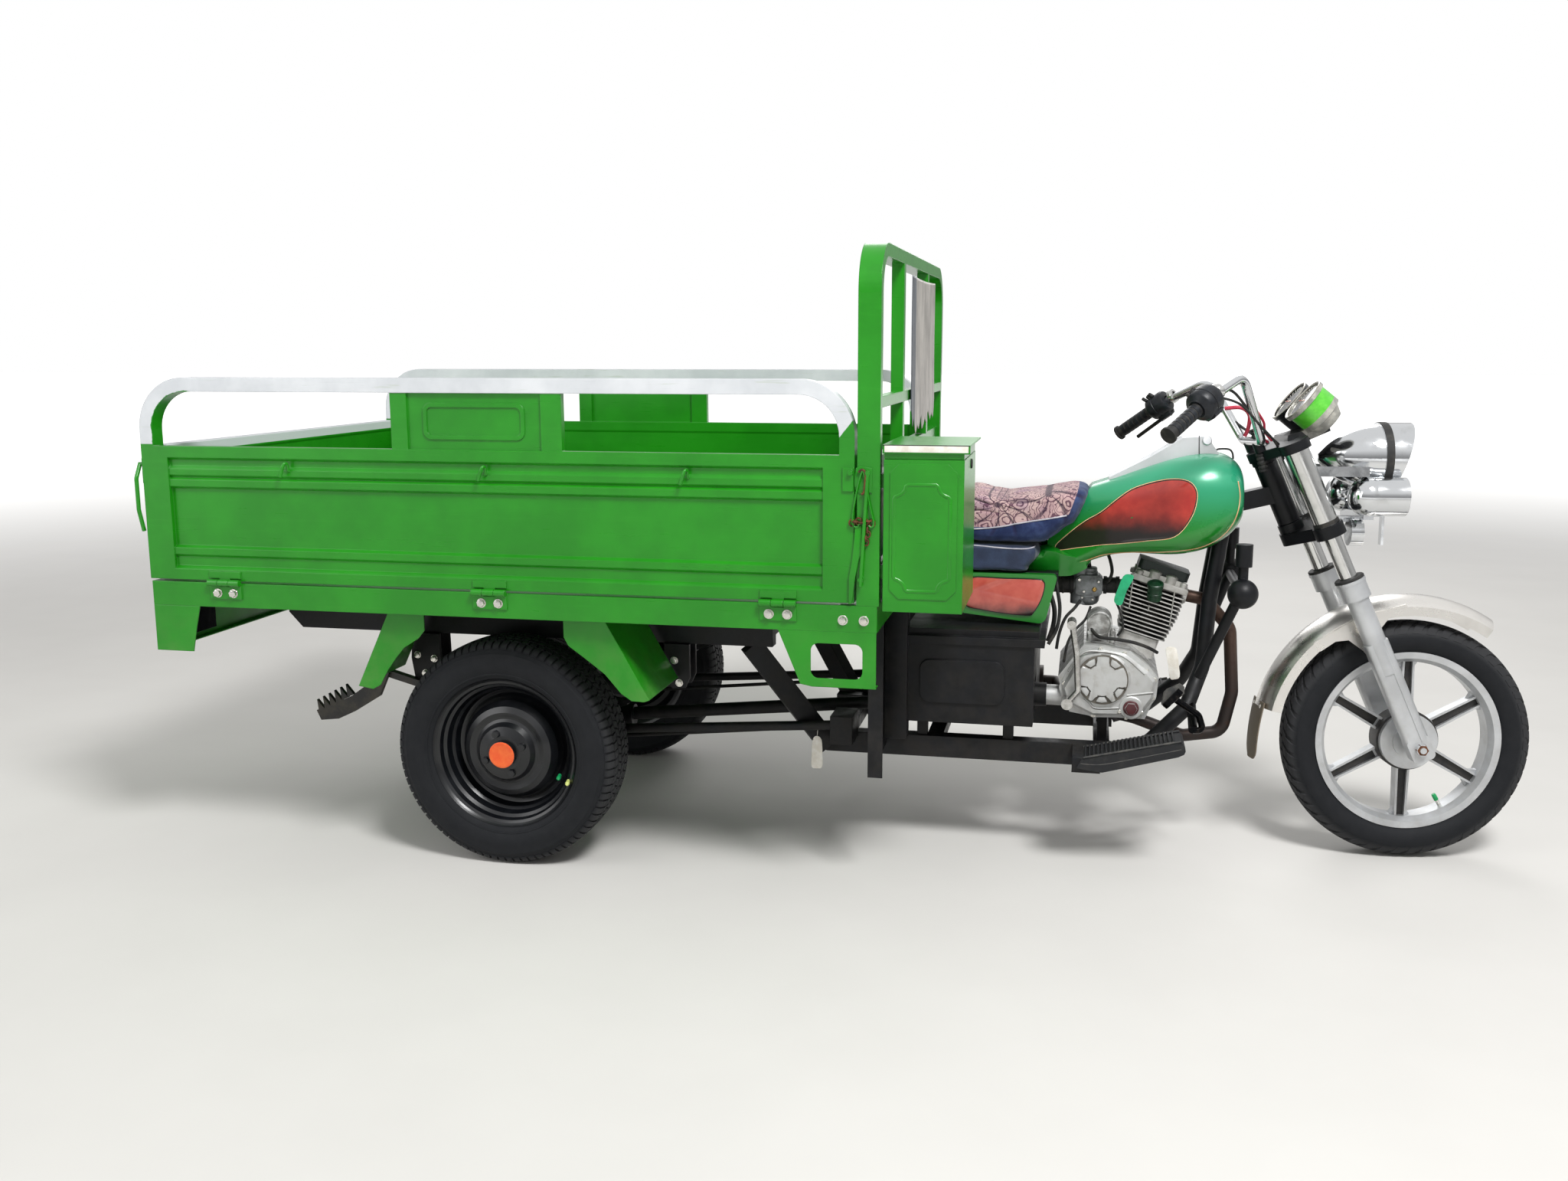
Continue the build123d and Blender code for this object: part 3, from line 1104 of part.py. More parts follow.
# Web between the fork leg and the fender's skirt: ahead of the leg and up it
FENDER_WEB = ((15, 236), (26, 262), (34, 292), (62, 309), (116, 300), (112, 326), (0, 340), (-124, 322), (-116, 296),
              (-74, 305), (-44, 296), (-22, 258), (-15, 236))


def mud_flap():
    """Rubber tongue bolted to the rear end of the fender."""
    flap = shape((2684, 372), (2690, 372), (2674, 240), (2668, 240))
    return across(flap, (-56, 56)) - front_fender()


GAUGE_TILT = Vector(-0.78, 0, 0.62).normalized()
GAUGE_GLASS = (2737.0, 64.0, 1132.0)
# Gauge cup in section: radius and height above the glass rim
GAUGE_CUP = ((0, -88), (32, -88), (44, -66), (52, -62), (52, -12), (57, -10), (57, 0), (51, 0), (51, -5), (0, -5))


def instruments():
    """Two round gauges in deep cups, tilted to the rider, on a bracket from the top yoke."""
    cup = revolve(Plane.XZ * shape(*GAUGE_CUP), axis=Axis.Z)
    x, y, z = GAUGE_GLASS
    pieces = across(shape((2706, 1020), (2722, 1020), (2806, 1058), (2800, 1076), (2706, 1046)), (-66, 66))
    for side in (-1, 1):
        pieces += Plane(Vector(x, side * y, z), z_dir=GAUGE_TILT) * cup
    return pieces - fork_yokes()[1]


LAMP_BACK = 2796.0
LAMP_WAIST = 2938.0
LAMP_PEAK = 3011.0
LAMP_RADIUS = 83.0
LENS_RISE = 12.0
LAMP_AT = 993.0


def crown(radius, start, rise):
    """Arc of a shallow dome from its edge to the axis, for a lens turned about that axis."""
    ball = (radius ** 2 + rise ** 2) / (2 * rise)
    middle = radius / 2
    return ThreePointArc((radius, start), (middle, start + rise - ball + sqrt(ball ** 2 - middle ** 2)), (0, start + rise))


def facing_ahead(outline, y, z):
    """Round form about a level axis along X; the outline is radius and X."""
    return Pos(0, y, z) * Rot(0, 0, -90) * revolve(outline, axis=Axis.Y)


def headlamp():
    """Deep plated bowl whose rim is cut back from a peak, on ears from the fork covers."""
    waist = LAMP_WAIST
    edges = [Line((0, LAMP_BACK), (8, LAMP_BACK)),
             ThreePointArc((8, LAMP_BACK), (LAMP_RADIUS * 0.73, LAMP_BACK + 60), (LAMP_RADIUS, waist)),
             Line((LAMP_RADIUS, waist), (LAMP_RADIUS, waist + 14)), crown(LAMP_RADIUS, waist + 14, LENS_RISE),
             Line((0, waist + 14 + LENS_RISE), (0, LAMP_BACK))]
    piece = facing_ahead(make_face(edges), 0, LAMP_AT)
    rim = facing_ahead(shape((LAMP_RADIUS - 1, waist - 4), (LAMP_RADIUS + 2.5, waist - 4), (LAMP_RADIUS + 2.5, LAMP_PEAK),
                             (LAMP_RADIUS - 1, LAMP_PEAK)), 0, LAMP_AT)
    top, foot = LAMP_AT + LAMP_RADIUS + 10, LAMP_AT - LAMP_RADIUS - 10
    piece += rim - across(shape((LAMP_PEAK + 3, top), (waist + 20, foot), (LAMP_PEAK + 40, foot), (LAMP_PEAK + 40, top)),
                          (-100, 100))
    for side in (-1, 1):
        inner, outer = side * 50, side * (LEG_Y + 4)
        piece += block((2862, 2886), (min(inner, outer), max(inner, outer)), (950, 974))
        piece += block((2752, 2886), (min(outer - side * 8, outer), max(outer - side * 8, outer)), (950, 974))
    for cover in fork_tubes():
        piece -= cover
    return piece


SPOT_RADIUS = 46.5
SPOT_BOWL = 56.0
SPOT_Y = 96.0
SPOT_Z = 902.0
SPOT_X = (2846.0, 2977.0)


def spot_lamps():
    """Two smaller plated lamps and a horn below the headlamp, on a bar across the fork."""
    back, front = SPOT_X
    glass = SPOT_RADIUS - 4
    edges = [Line((0, back), (5, back)),
             ThreePointArc((5, back), (SPOT_RADIUS * 0.8, back + 17), (SPOT_RADIUS, back + SPOT_BOWL)),
             Line((SPOT_RADIUS, back + SPOT_BOWL), (SPOT_RADIUS, front)), Line((SPOT_RADIUS, front), (glass, front)),
             Line((glass, front), (glass, front - 10)), crown(glass, front - 10, 8), Line((0, front - 2), (0, back))]
    outline = make_face(edges)
    piece = block((2884, 2908), (-SPOT_Y, SPOT_Y), (846, 864)) + block((2800, 2896), (-20, 20), (836, 850))
    for side in (-1, 1):
        piece += facing_ahead(outline, side * SPOT_Y, SPOT_Z)
    piece += rod((2868, -34, 812), (2898, -34, 812), 33) + block((2878, 2890), (-46, -22), (812, 850))
    piece += block((2936, 2942), (-68, -48), (784, 864)) + block((2900, 2942), (-68, -48), (852, 864))
    return piece - fork_yokes()[0]


PIECES = {
    "bed_frame": lambda: [bed_frame()],
    "headboard": lambda: [headboard()],
    "hung_sheet": lambda: [hung_sheet()],
    "toolbox": lambda: [toolbox()],
    "rear_apron": lambda: [rear_apron()],
    "tail_lamps": tail_lamps,
    "mudguards": mudguards,
    "steps": lambda: both(step_plate()) + [serrated_step()],
    "chassis_rails": chassis_rails,
    "chassis_crossmembers": chassis_crossmembers,
    "frame_drops": frame_drops,
    "lower_rails": lower_rails,
    "lower_crossmembers": lower_crossmembers,
    "down_tubes": down_tubes,
    "backbone": lambda: [backbone()],
    "crankcase": lambda: [crankcase()],
    "cylinder": lambda: [cylinder()],
    "carburettor": lambda: [carburettor()],
    "exhaust": lambda: [exhaust()],
    "foot_controls": foot_controls,
    "fuel_tank": lambda: [fuel_tank()],
    "tank_console": lambda: [tank_console()],
    "seat_base": lambda: [seat_base()],
    "seat_cushion": lambda: [seat_cushion()],
    "side_covers": side_covers,
    "battery_box": lambda: [battery_box()],
    "footboards": footboards,
    "leg_guard": lambda: [leg_guard()],
    "leaf_springs": leaf_springs,
    "rear_axle": lambda: [rear_axle()],
    "drive_shaft": lambda: [drive_shaft()],
    "thrust_rods": thrust_rods,
    "side_board_right": lambda: [side_board()],
    "side_board_left": lambda: [mirrored(side_board())],
    "tailgate": lambda: [tailgate()],
    "toolbox_lid": lambda: [toolbox_lid()],
    "rear_wheel_right": lambda: [rear_wheel(-1)],
    "rear_wheel_left": lambda: [rear_wheel(1)],
    "rear_tyre_right": lambda: [rear_tyre(-1)],
    "rear_tyre_left": lambda: [rear_tyre(1)],
}
STEERED_PIECES = {
    "front_tyre": lambda: [front_tyre()],
    "front_wheel": lambda: [front_wheel()],
    "front_axle": lambda: [front_axle()],
    "fork_sliders": fork_sliders,
    "fork_tubes": fork_tubes,
    "fork_yokes": fork_yokes,
    "handlebar": lambda: [handlebar()],
    "grips": grips,
    "front_fender": lambda: [front_fender()],
    "mud_flap": lambda: [mud_flap()],
    "instruments": lambda: [instruments()],
    "headlamp": lambda: [headlamp()],
    "spot_lamps": lambda: [spot_lamps()],
}


def build():
    """Every piece by name, in the bed's own stations."""
    pieces = {name: make() for name, make in PIECES.items()}
    for name, make in STEERED_PIECES.items():
        pieces[name] = parked(*make())
    return pieces


def main():
    """Write one file for each piece, with the footprint's middle at the origin."""
    pieces = build()
    boxes = [solid.bounding_box() for group in pieces.values() for solid in group]
    rear = min(box.min.X for box in boxes)
    front = max(box.max.X for box in boxes)
    middle = (rear + front) / 2
    print("overall length", round(front - rear, 1), "origin station", round(middle, 3))
    os.makedirs("parts", exist_ok=True)
    for name, group in pieces.items():
        solids = [solid for piece in group for solid in piece.solids()]
        whole = Pos(-middle, 0, 0) * Compound(solids)
        export_step(whole, f"parts/{name}.step")


if __name__ == "__main__":
    main()
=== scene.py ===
"""Looks of the cargo motor tricycle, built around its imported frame."""

from math import atan2, cos, pi, radians, sin, sqrt

import bmesh
import bpy
from mathutils import Matrix, Vector, noise
from mathutils.bvhtree import BVHTree


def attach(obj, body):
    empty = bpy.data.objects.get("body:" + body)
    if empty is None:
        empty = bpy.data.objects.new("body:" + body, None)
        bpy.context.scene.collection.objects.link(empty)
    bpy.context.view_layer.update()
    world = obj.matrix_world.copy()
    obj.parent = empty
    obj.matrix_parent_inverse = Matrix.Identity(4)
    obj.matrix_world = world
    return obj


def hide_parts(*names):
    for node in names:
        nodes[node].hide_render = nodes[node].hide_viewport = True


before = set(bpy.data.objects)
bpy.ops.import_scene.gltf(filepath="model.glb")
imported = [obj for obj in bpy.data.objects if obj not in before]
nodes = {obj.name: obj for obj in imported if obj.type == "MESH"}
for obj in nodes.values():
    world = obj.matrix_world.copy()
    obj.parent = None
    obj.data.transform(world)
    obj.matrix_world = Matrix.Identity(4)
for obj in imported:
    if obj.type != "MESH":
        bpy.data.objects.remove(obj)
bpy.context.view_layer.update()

# Places are written as in the frame's own drawing: millimetres from the rear edge of the load bed.
BED_TO_MIDDLE = 1653.663
RAKE = radians(24.2)
STEER_TURN = radians(7.3)
FRONT_AXLE = Vector((3036.0, 0.0, 297.0))
REAR_AXLE = Vector((866.0, 0.0, 282.0))
HALF_TRACK = 475.0
RAKE_BACK = Vector((-sin(RAKE), 0, cos(RAKE)))
RAKE_FORE = Vector((cos(RAKE), 0, sin(RAKE)))
STEER_POINT = FRONT_AXLE - RAKE_FORE * 54.0
SILL_FACE = 637.5
BOX_FACE = 643.5
FORK_HALF = 117.0
CYLINDER_LEAN = radians(17.0)
CYLINDER_UP = Vector((sin(CYLINDER_LEAN), 0, cos(CYLINDER_LEAN)))
CYLINDER_FORE = Vector((cos(CYLINDER_LEAN), 0, -sin(CYLINDER_LEAN)))
CYLINDER_FOOT = (2385, 0, 532)
COVER_CENTRE = (2296, -178, 452)
GAUGE_HALF = 64.0
GAUGE_PLACE = (2737, 1132)
GAUGE_FACE = Vector((-0.78, 0, 0.62)).normalized()


def place(x, y, z):
    """Metres in the frame for a place in millimetres from the bed's rear edge."""
    return Vector(((x - BED_TO_MIDDLE) / 1000, y / 1000, z / 1000))


def fork_place(up, fore, y):
    """Place beside the fork, in millimetres: up the leg, ahead of it and sideways."""
    return FRONT_AXLE + RAKE_BACK * up + RAKE_FORE * fore + Vector((0, y, 0))


def turn_matrix():
    """Turn of the steered pieces about the raked axis, in metres."""
    pivot = place(*STEER_POINT)
    turn = Matrix.Rotation(STEER_TURN, 4, RAKE_BACK)
    return Matrix.Translation(pivot) @ turn @ Matrix.Translation(-pivot)


# Materials


def linear(code):
    """Linear colour from an sRGB hex value."""
    parts = [int(code[i:i + 2], 16) / 255 for i in (1, 3, 5)]
    return [p / 12.92 if p <= 0.04045 else ((p + 0.055) / 1.055) ** 2.4 for p in parts] + [1.0]


MODES = {"Math": "operation", "VectorMath": "operation", "Mix": "data_type",
         "MapRange": "interpolation_type"}


def add(tree, kind, *inputs, out=None, **named):
    """Output of a new node: its kind and mode, then its inputs in the order that the editor shows, or by
    their Capital_Names, as values or other outputs. Names in small letters are settings."""
    kind, _, mode = kind.partition(" ")
    node = tree.nodes.new("ShaderNode" + kind)
    if mode:
        setattr(node, MODES[kind], mode)
    for key, value in named.items():
        if key[0].islower():
            setattr(node, key, value)
    given = list(zip([socket for socket in node.inputs if socket.enabled], inputs))
    given += [(node.inputs[key.replace("_", " ")], value) for key, value in named.items()
              if key[0].isupper()]
    for socket, value in given:
        if isinstance(value, bpy.types.NodeSocket):
            tree.links.new(value, socket)
        else:
            socket.default_value = value
    return node.outputs[out] if out else next(socket for socket in node.outputs if socket.enabled)


def surface(name, metallic=0.0, roughness=0.5, **sockets):
    """A new material with its shader and the object's own coordinates."""
    material = bpy.data.materials.new(name)
    material.use_nodes = True
    tree = material.node_tree
    shader = tree.nodes["Principled BSDF"]
    shader.inputs["Metallic"].default_value = metallic
    shader.inputs["Roughness"].default_value = roughness
    for key, value in sockets.items():
        shader.inputs[key.replace("_", " ")].default_value = value
    return material, tree, shader, add(tree, "TexCoord", out="Object")


def mottle(tree, coords, size_mm, detail=4.0, rough=0.55, stretch=(1, 1, 1)):
    """Cloudy pattern whose patches are about size_mm across."""
    vector = add(tree, "VectorMath MULTIPLY", coords, stretch)
    return add(tree, "TexNoise", vector, 1000 / size_mm, detail, rough)


def shades(tree, pattern, low, high, first, second):
    """Two shades of one finish from their hex values, running into each other where the pattern does."""
    amount = add(tree, "MapRange SMOOTHSTEP", pattern, low, high)
    return add(tree, "Mix RGBA", amount, linear(first), linear(second))


def filmed(tree, colour, amount, strength, film):
    """Colour under a thin film of another one, as dust, wear or a painted line lies on it."""
    cover = add(tree, "Math MULTIPLY", amount, strength)
    return add(tree, "Mix RGBA", cover, colour, linear(film))


def bumped(tree, shader, height, strength, depth_mm, edge_mm=0.0):
    """Surface relief of depth_mm, with pressed edges softened by edge_mm so that they catch the light."""
    soft = {"Normal": add(tree, "Bevel", edge_mm / 1000, samples=6)} if edge_mm else {}
    bump = add(tree, "Bump", strength, depth_mm / 1000, Height=height, **soft)
    tree.links.new(bump, shader.inputs["Normal"])


def dust_amount(tree, coords, top_mm, full_mm, patches=60.0):
    """Road dust that thickens from top_mm above the ground down to full_mm, in patches."""
    height = add(tree, "SeparateXYZ", coords, out="Z")
    low = add(tree, "MapRange SMOOTHSTEP", height, top_mm / 1000, full_mm / 1000)
    cloud = add(tree, "MapRange SMOOTHSTEP", mottle(tree, coords, patches, 6.0, 0.65), 0.35, 0.7)
    return add(tree, "Math MULTIPLY", low, cloud)


def finish(tree, shader, colour, roughness=None):
    """Colour and roughness patterns put on the shader."""
    tree.links.new(colour, shader.inputs["Base Color"])
    if roughness is not None:
        tree.links.new(roughness, shader.inputs["Roughness"])


RAIL_UNDER = 1.1606
PANEL_TOP = 1.0355
REAR_POST = -1.516
FRONT_POST = -0.061
FRONT_SLANT = 1.23
REAR_BEND = place(122, 0, 1070)
BEND_INSIDE = 0.089


def white_part(tree, coords, station, height):
    """Where the hoop of a drop side is painted white: rail, rear post and slanting front end, brushed on with
    ragged edges, but not the inside of its rear bend."""
    ragged = add(tree, "Math MULTIPLY", mottle(tree, coords, 14.0, 3.0), 0.008)
    rail = add(tree, "MapRange SMOOTHSTEP", height, RAIL_UNDER - 0.0006, RAIL_UNDER + 0.0006)
    over_panel = add(tree, "MapRange SMOOTHSTEP", height, PANEL_TOP - 0.001, PANEL_TOP + 0.001)
    behind = add(tree, "MapRange SMOOTHSTEP", station, REAR_POST + 0.001, REAR_POST - 0.001)
    rear_post = add(tree, "Math MULTIPLY", behind, over_panel)
    slant = add(tree, "Math ADD", add(tree, "Math MULTIPLY", station, -FRONT_SLANT), height)
    front_end = add(tree, "MapRange SMOOTHSTEP", add(tree, "Math ADD", slant, ragged), 0.9985, 1.0005)
    front_post = add(tree, "MapRange SMOOTHSTEP", station, FRONT_POST - 0.001, FRONT_POST + 0.001)
    front_end = add(tree, "Math MULTIPLY", add(tree, "Math MULTIPLY", front_post, front_end), over_panel)
    back = add(tree, "Math MINIMUM", add(tree, "Math SUBTRACT", station, REAR_BEND.x), 0.0)
    over = add(tree, "Math MAXIMUM", add(tree, "Math SUBTRACT", height, REAR_BEND.z), 0.0)
    squares = add(tree, "Math ADD", add(tree, "Math MULTIPLY", back, back),
                  add(tree, "Math MULTIPLY", over, over))
    reach = add(tree, "Math SUBTRACT", add(tree, "Math POWER", squares, 0.5), ragged)
    inside = add(tree, "MapRange SMOOTHSTEP", reach, BEND_INSIDE + 0.0005, BEND_INSIDE - 0.0005)
    inside = add(tree, "Math MULTIPLY", inside, add(tree, "MapRange SMOOTHSTEP", station, -1.5, -1.52))
    white = add(tree, "Math MAXIMUM", rail, add(tree, "Math MAXIMUM", rear_post, front_end))
    return add(tree, "Math MULTIPLY", white, add(tree, "Math SUBTRACT", 1.0, inside))


def bed_enamel(name, white_rail=False, black_below=None, white_top=None):
    """Green gloss enamel laid on by brush over older paint: streaks, a few thin places and a soft sheen.
    The upper rail of the drop sides is painted white over the green."""
    material, tree, shader, coords = surface(name, roughness=0.34, Specular_IOR_Level=0.42,
                                             Coat_Weight=0.16, Coat_Roughness=0.2)
    streaks = mottle(tree, coords, 9.0, 5.0, 0.6, (0.06, 1, 1))
    clouds = mottle(tree, coords, 170.0, 4.0, 0.6)
    green = shades(tree, clouds, 0.34, 0.68, "#157C09", "#1C890F")
    green = filmed(tree, green, add(tree, "MapRange SMOOTHSTEP", streaks, 0.52, 0.78), 0.09, "#3FA52E")
    chips = add(tree, "MapRange SMOOTHSTEP", mottle(tree, coords, 7.0, 3.0, 0.7), 0.745, 0.765)
    chips = add(tree, "Math MULTIPLY", chips, add(tree, "MapRange SMOOTHSTEP", clouds, 0.5, 0.62))
    colour = add(tree, "Mix RGBA", chips, green, linear("#5A4A35"))
    station, height = (add(tree, "SeparateXYZ", coords, out=axis) for axis in "XZ")
    if white_rail:
        white = shades(tree, clouds, 0.3, 0.75, "#C3C7CB", "#DADDE0")
        white = filmed(tree, white, add(tree, "MapRange SMOOTHSTEP", streaks, 0.62, 0.7), 0.35, "#A9B59F")
        colour = add(tree, "Mix RGBA", white_part(tree, coords, station, height), colour, white)
    if white_top is not None:
        edge = add(tree, "MapRange SMOOTHSTEP", height, white_top, white_top + 0.001)
        colour = add(tree, "Mix RGBA", edge, colour, linear("#D2D6D9"))
    if black_below is not None:
        edge = add(tree, "MapRange SMOOTHSTEP", station, black_below, black_below - 0.001)
        colour = add(tree, "Mix RGBA", edge, colour, linear("#0E0F11"))
    dusty = dust_amount(tree, coords, 700, 420)
    colour = filmed(tree, colour, dusty, 0.14, "#8F8368")
    rough = add(tree, "MapRange", streaks, 0.3, 0.8, 0.27, 0.33)
    rough = add(tree, "Math ADD", rough, add(tree, "Math MULTIPLY", dusty, 0.3))
    finish(tree, shader, colour, rough)
    bumped(tree, shader, streaks, 0.03, 0.3, 3.0)
    return material


def chassis_paint(name, dust=0.6):
    """Satin black frame paint under road dust: grey-brown films on the lower parts, small rusty chips."""
    material, tree, shader, coords = surface(name, roughness=0.5, Specular_IOR_Level=0.28)
    clouds = mottle(tree, coords, 45.0, 5.0, 0.6)
    colour = shades(tree, clouds, 0.3, 0.75, "#08090C", "#111318")
    chips = add(tree, "MapRange SMOOTHSTEP", mottle(tree, coords, 10.0, 4.0, 0.7), 0.72, 0.75)
    colour = filmed(tree, colour, chips, 0.6, "#4A3020")
    dusty = dust_amount(tree, coords, 900, 200)
    colour = filmed(tree, colour, dusty, dust, "#4C4740")
    rough = add(tree, "MapRange", clouds, 0.0, 1.0, 0.3, 0.5)
    finish(tree, shader, colour, add(tree, "Math ADD", rough, add(tree, "Math MULTIPLY", dusty, 0.3)))
    bumped(tree, shader, mottle(tree, coords, 3.0, 3.0), 0.15, 0.3, 2.5)
    return material


def wheel_enamel(name):
    """Black enamel sprayed on a pressed wheel: a soft satin sheen with a little dust in the hollows."""
    material, tree, shader, coords = surface(name, roughness=0.3, Coat_Weight=0.15, Coat_Roughness=0.2)
    clouds = mottle(tree, coords, 60.0, 3.0, 0.5)
    dusty = add(tree, "MapRange SMOOTHSTEP", clouds, 0.5, 0.85)
    colour = filmed(tree, linear("#090B0F"), dusty, 0.12, "#4E5157")
    rough = add(tree, "MapRange", clouds, 0.0, 1.0, 0.26, 0.36)
    finish(tree, shader, colour, rough)
    return material


def bright_plate(name, tint="#D4D6D8", rough=(0.05, 0.24), haze=0.25, size_mm=38.0):
    """Chromium plate: mirror-bright with a thin haze of dust and finger marks."""
    material, tree, shader, coords = surface(name, metallic=1.0, roughness=0.1)
    clouds = mottle(tree, coords, size_mm, 4.0, 0.55)
    dusty = add(tree, "MapRange SMOOTHSTEP", clouds, 0.5, 0.78)
    colour = filmed(tree, linear(tint), dusty, haze, "#8E8B84")
    finish(tree, shader, colour, add(tree, "MapRange", clouds, 0.35, 0.75, rough[0], rough[1]))
    return material


def silver_lacquer(name, light="#CBCDCF", dark="#B9BBBD"):
    """Silver lacquer over a casting: fine metal flake under a soft coat, dulled by dust."""
    material, tree, shader, coords = surface(name, metallic=0.6, roughness=0.38, Coat_Weight=0.2)
    clouds = mottle(tree, coords, 70.0, 3.0, 0.5)
    flake = mottle(tree, coords, 0.8, 2.0)
    colour = shades(tree, clouds, 0.3, 0.7, dark, light)
    dusty = dust_amount(tree, coords, 700, 150, 30.0)
    colour = filmed(tree, colour, dusty, 0.22, "#8D867A")
    finish(tree, shader, colour, add(tree, "MapRange", flake, 0.0, 1.0, 0.3, 0.5))
    return material


def raw_casting(name, light, dark, grime, shaded_within=None):
    """Sand-cast aluminium left raw: grainy grey skin with oily grime in cloudy patches. Given a distance from
    the middle, the inner body within it is darkened in patches as painted shade.
    """
    material, tree, shader, coords = surface(name, metallic=0.6, roughness=0.5)
    clouds = mottle(tree, coords, 28.0, 6.0, 0.62)
    grain = mottle(tree, coords, 1.6, 3.0, 0.6)
    colour = shades(tree, clouds, 0.3, 0.72, dark, light)
    colour = filmed(tree, colour, add(tree, "MapRange SMOOTHSTEP", clouds, 0.46, 0.28), 0.55, grime)
    if shaded_within is not None:
        # Painted shade: the inner body, nearer the middle than the side cover, darkened in patches.
        across = add(tree, "Math ABSOLUTE", add(tree, "SeparateXYZ", coords, out="Y"))
        inside = add(tree, "MapRange SMOOTHSTEP", across, shaded_within, shaded_within - 0.03)
        patches = add(tree, "MapRange SMOOTHSTEP", mottle(tree, coords, 22.0, 4.0), 0.35, 0.6)
        patchy_painted_shade = add(tree, "Math MULTIPLY", inside, patches)
        colour = filmed(tree, colour, patchy_painted_shade, 0.6, "#4A443C")
    finish(tree, shader, colour, add(tree, "MapRange", grain, 0.0, 1.0, 0.36, 0.66))
    bumped(tree, shader, grain, 0.35, 0.35)
    return material


def rusted(name, light="#7A4A2B", dark="#3A2418"):
    """Bare steel gone to rust: flaky browns, dull all over."""
    material, tree, shader, coords = surface(name, metallic=0.25, roughness=0.78)
    clouds = mottle(tree, coords, 14.0, 6.0, 0.7)
    colour = shades(tree, clouds, 0.32, 0.7, dark, light)
    finish(tree, shader, colour)
    bumped(tree, shader, clouds, 0.5, 0.5)
    return material


def heated_pipe(name):
    """Plain steel exhaust browned by heat near the port, dusty and rust-freckled further on."""
    material, tree, shader, coords = surface(name, metallic=0.7, roughness=0.45)
    clouds = mottle(tree, coords, 22.0, 6.0, 0.65)
    height = add(tree, "SeparateXYZ", coords, out="Z")
    hot = add(tree, "MapRange SMOOTHSTEP", height, 0.35, 0.6)
    colour = add(tree, "Mix RGBA", hot, linear("#332D2B"), linear("#4F3D34"))
    colour = add(tree, "Mix RGBA", add(tree, "MapRange SMOOTHSTEP", clouds, 0.5, 0.7), colour,
                 linear("#3E2F29"))
    finish(tree, shader, colour, add(tree, "MapRange", clouds, 0.0, 1.0, 0.32, 0.7))
    bumped(tree, shader, clouds, 0.25, 0.3)
    return material


def tank_lacquer(name, low_mm=800.0, high_mm=960.0):
    """Lacquer sprayed leaf-green at the foot and blue-green on top: deep gloss with a soft change between."""
    material, tree, shader, coords = surface(name, metallic=0.1, roughness=0.34, Coat_Weight=0.6,
                                             Coat_Roughness=0.2)
    clouds = mottle(tree, coords, 90.0, 4.0)
    height = add(tree, "SeparateXYZ", coords, out="Z")
    wavy = add(tree, "Math ADD", height, add(tree, "Math MULTIPLY", clouds, 0.03))
    rise = add(tree, "MapRange SMOOTHSTEP", wavy, (low_mm + 15) / 1000, (high_mm + 15) / 1000)
    colour = add(tree, "Mix RGBA", rise, linear("#0C7A17"), linear("#2A9E75"))
    finish(tree, shader, colour, add(tree, "MapRange", clouds, 0.0, 1.0, 0.22, 0.36))
    return material


def red_lacquer(name, top_mm, foot_mm, light="#A8261F", other="#BE372A"):
    """Panel sprayed red that fades to black towards its foot, under clear lacquer, with light age marks."""
    material, tree, shader, coords = surface(name, roughness=0.3, Coat_Weight=0.8, Coat_Roughness=0.08)
    height = add(tree, "SeparateXYZ", coords, out="Z")
    cloud = mottle(tree, coords, 40.0, 5.0)
    ragged = add(tree, "Math ADD", height, add(tree, "Math MULTIPLY", cloud, 0.03))
    red = shades(tree, cloud, 0.3, 0.7, light, other)
    fade = add(tree, "MapRange SMOOTHSTEP", ragged, (foot_mm + 15) / 1000, (top_mm + 15) / 1000)
    finish(tree, shader, add(tree, "Mix RGBA", fade, linear("#160B0A"), red))
    return material


def plain_coat(name, colour, roughness, metallic=0.0, size_mm=20.0, other=None, **sockets):
    """Even finish with a faint cloudiness, for small trim."""
    material, tree, shader, coords = surface(name, metallic=metallic, roughness=roughness, **sockets)
    clouds = mottle(tree, coords, size_mm, 4.0)
    finish(tree, shader, shades(tree, clouds, 0.3, 0.7, colour, other or colour),
           add(tree, "MapRange", clouds, 0.0, 1.0, max(roughness - 0.08, 0.02), min(roughness + 0.12, 1.0)))
    return material


def tyre_rubber(name, centre):
    """Cured rubber: near-black, dull, greyed by dust towards the tread and round the bead."""
    material, tree, shader, coords = surface(name, roughness=0.7, Specular_IOR_Level=0.25)
    away = add(tree, "VectorMath SUBTRACT", coords, centre)
    flat = add(tree, "VectorMath MULTIPLY", away, (1, 0, 1))
    radius = add(tree, "VectorMath LENGTH", flat)
    clouds = mottle(tree, coords, 35.0, 6.0, 0.65)
    tread = add(tree, "MapRange SMOOTHSTEP", radius, 0.262, 0.276)
    amount = add(tree, "Math ADD", add(tree, "Math MULTIPLY", tread, 0.28),
                 add(tree, "Math MULTIPLY", clouds, 0.16))
    colour = add(tree, "Mix RGBA", amount, linear("#0C0F14"), linear("#4A4A4B"))
    finish(tree, shader, colour)
    bumped(tree, shader, mottle(tree, coords, 1.2, 3.0), 0.25, 0.25)
    return material


def moulded_rubber(name, colour="#161616", dust=0.45):
    """Soft moulded rubber: matt black with a fine grain and pale dust."""
    material, tree, shader, coords = surface(name, roughness=0.68)
    clouds = mottle(tree, coords, 25.0, 5.0, 0.6)
    dusty = add(tree, "MapRange SMOOTHSTEP", clouds, 0.45, 0.8)
    finish(tree, shader, filmed(tree, linear(colour), dusty, dust, "#5C574E"))
    bumped(tree, shader, mottle(tree, coords, 1.0, 2.0), 0.3, 0.2)
    return material


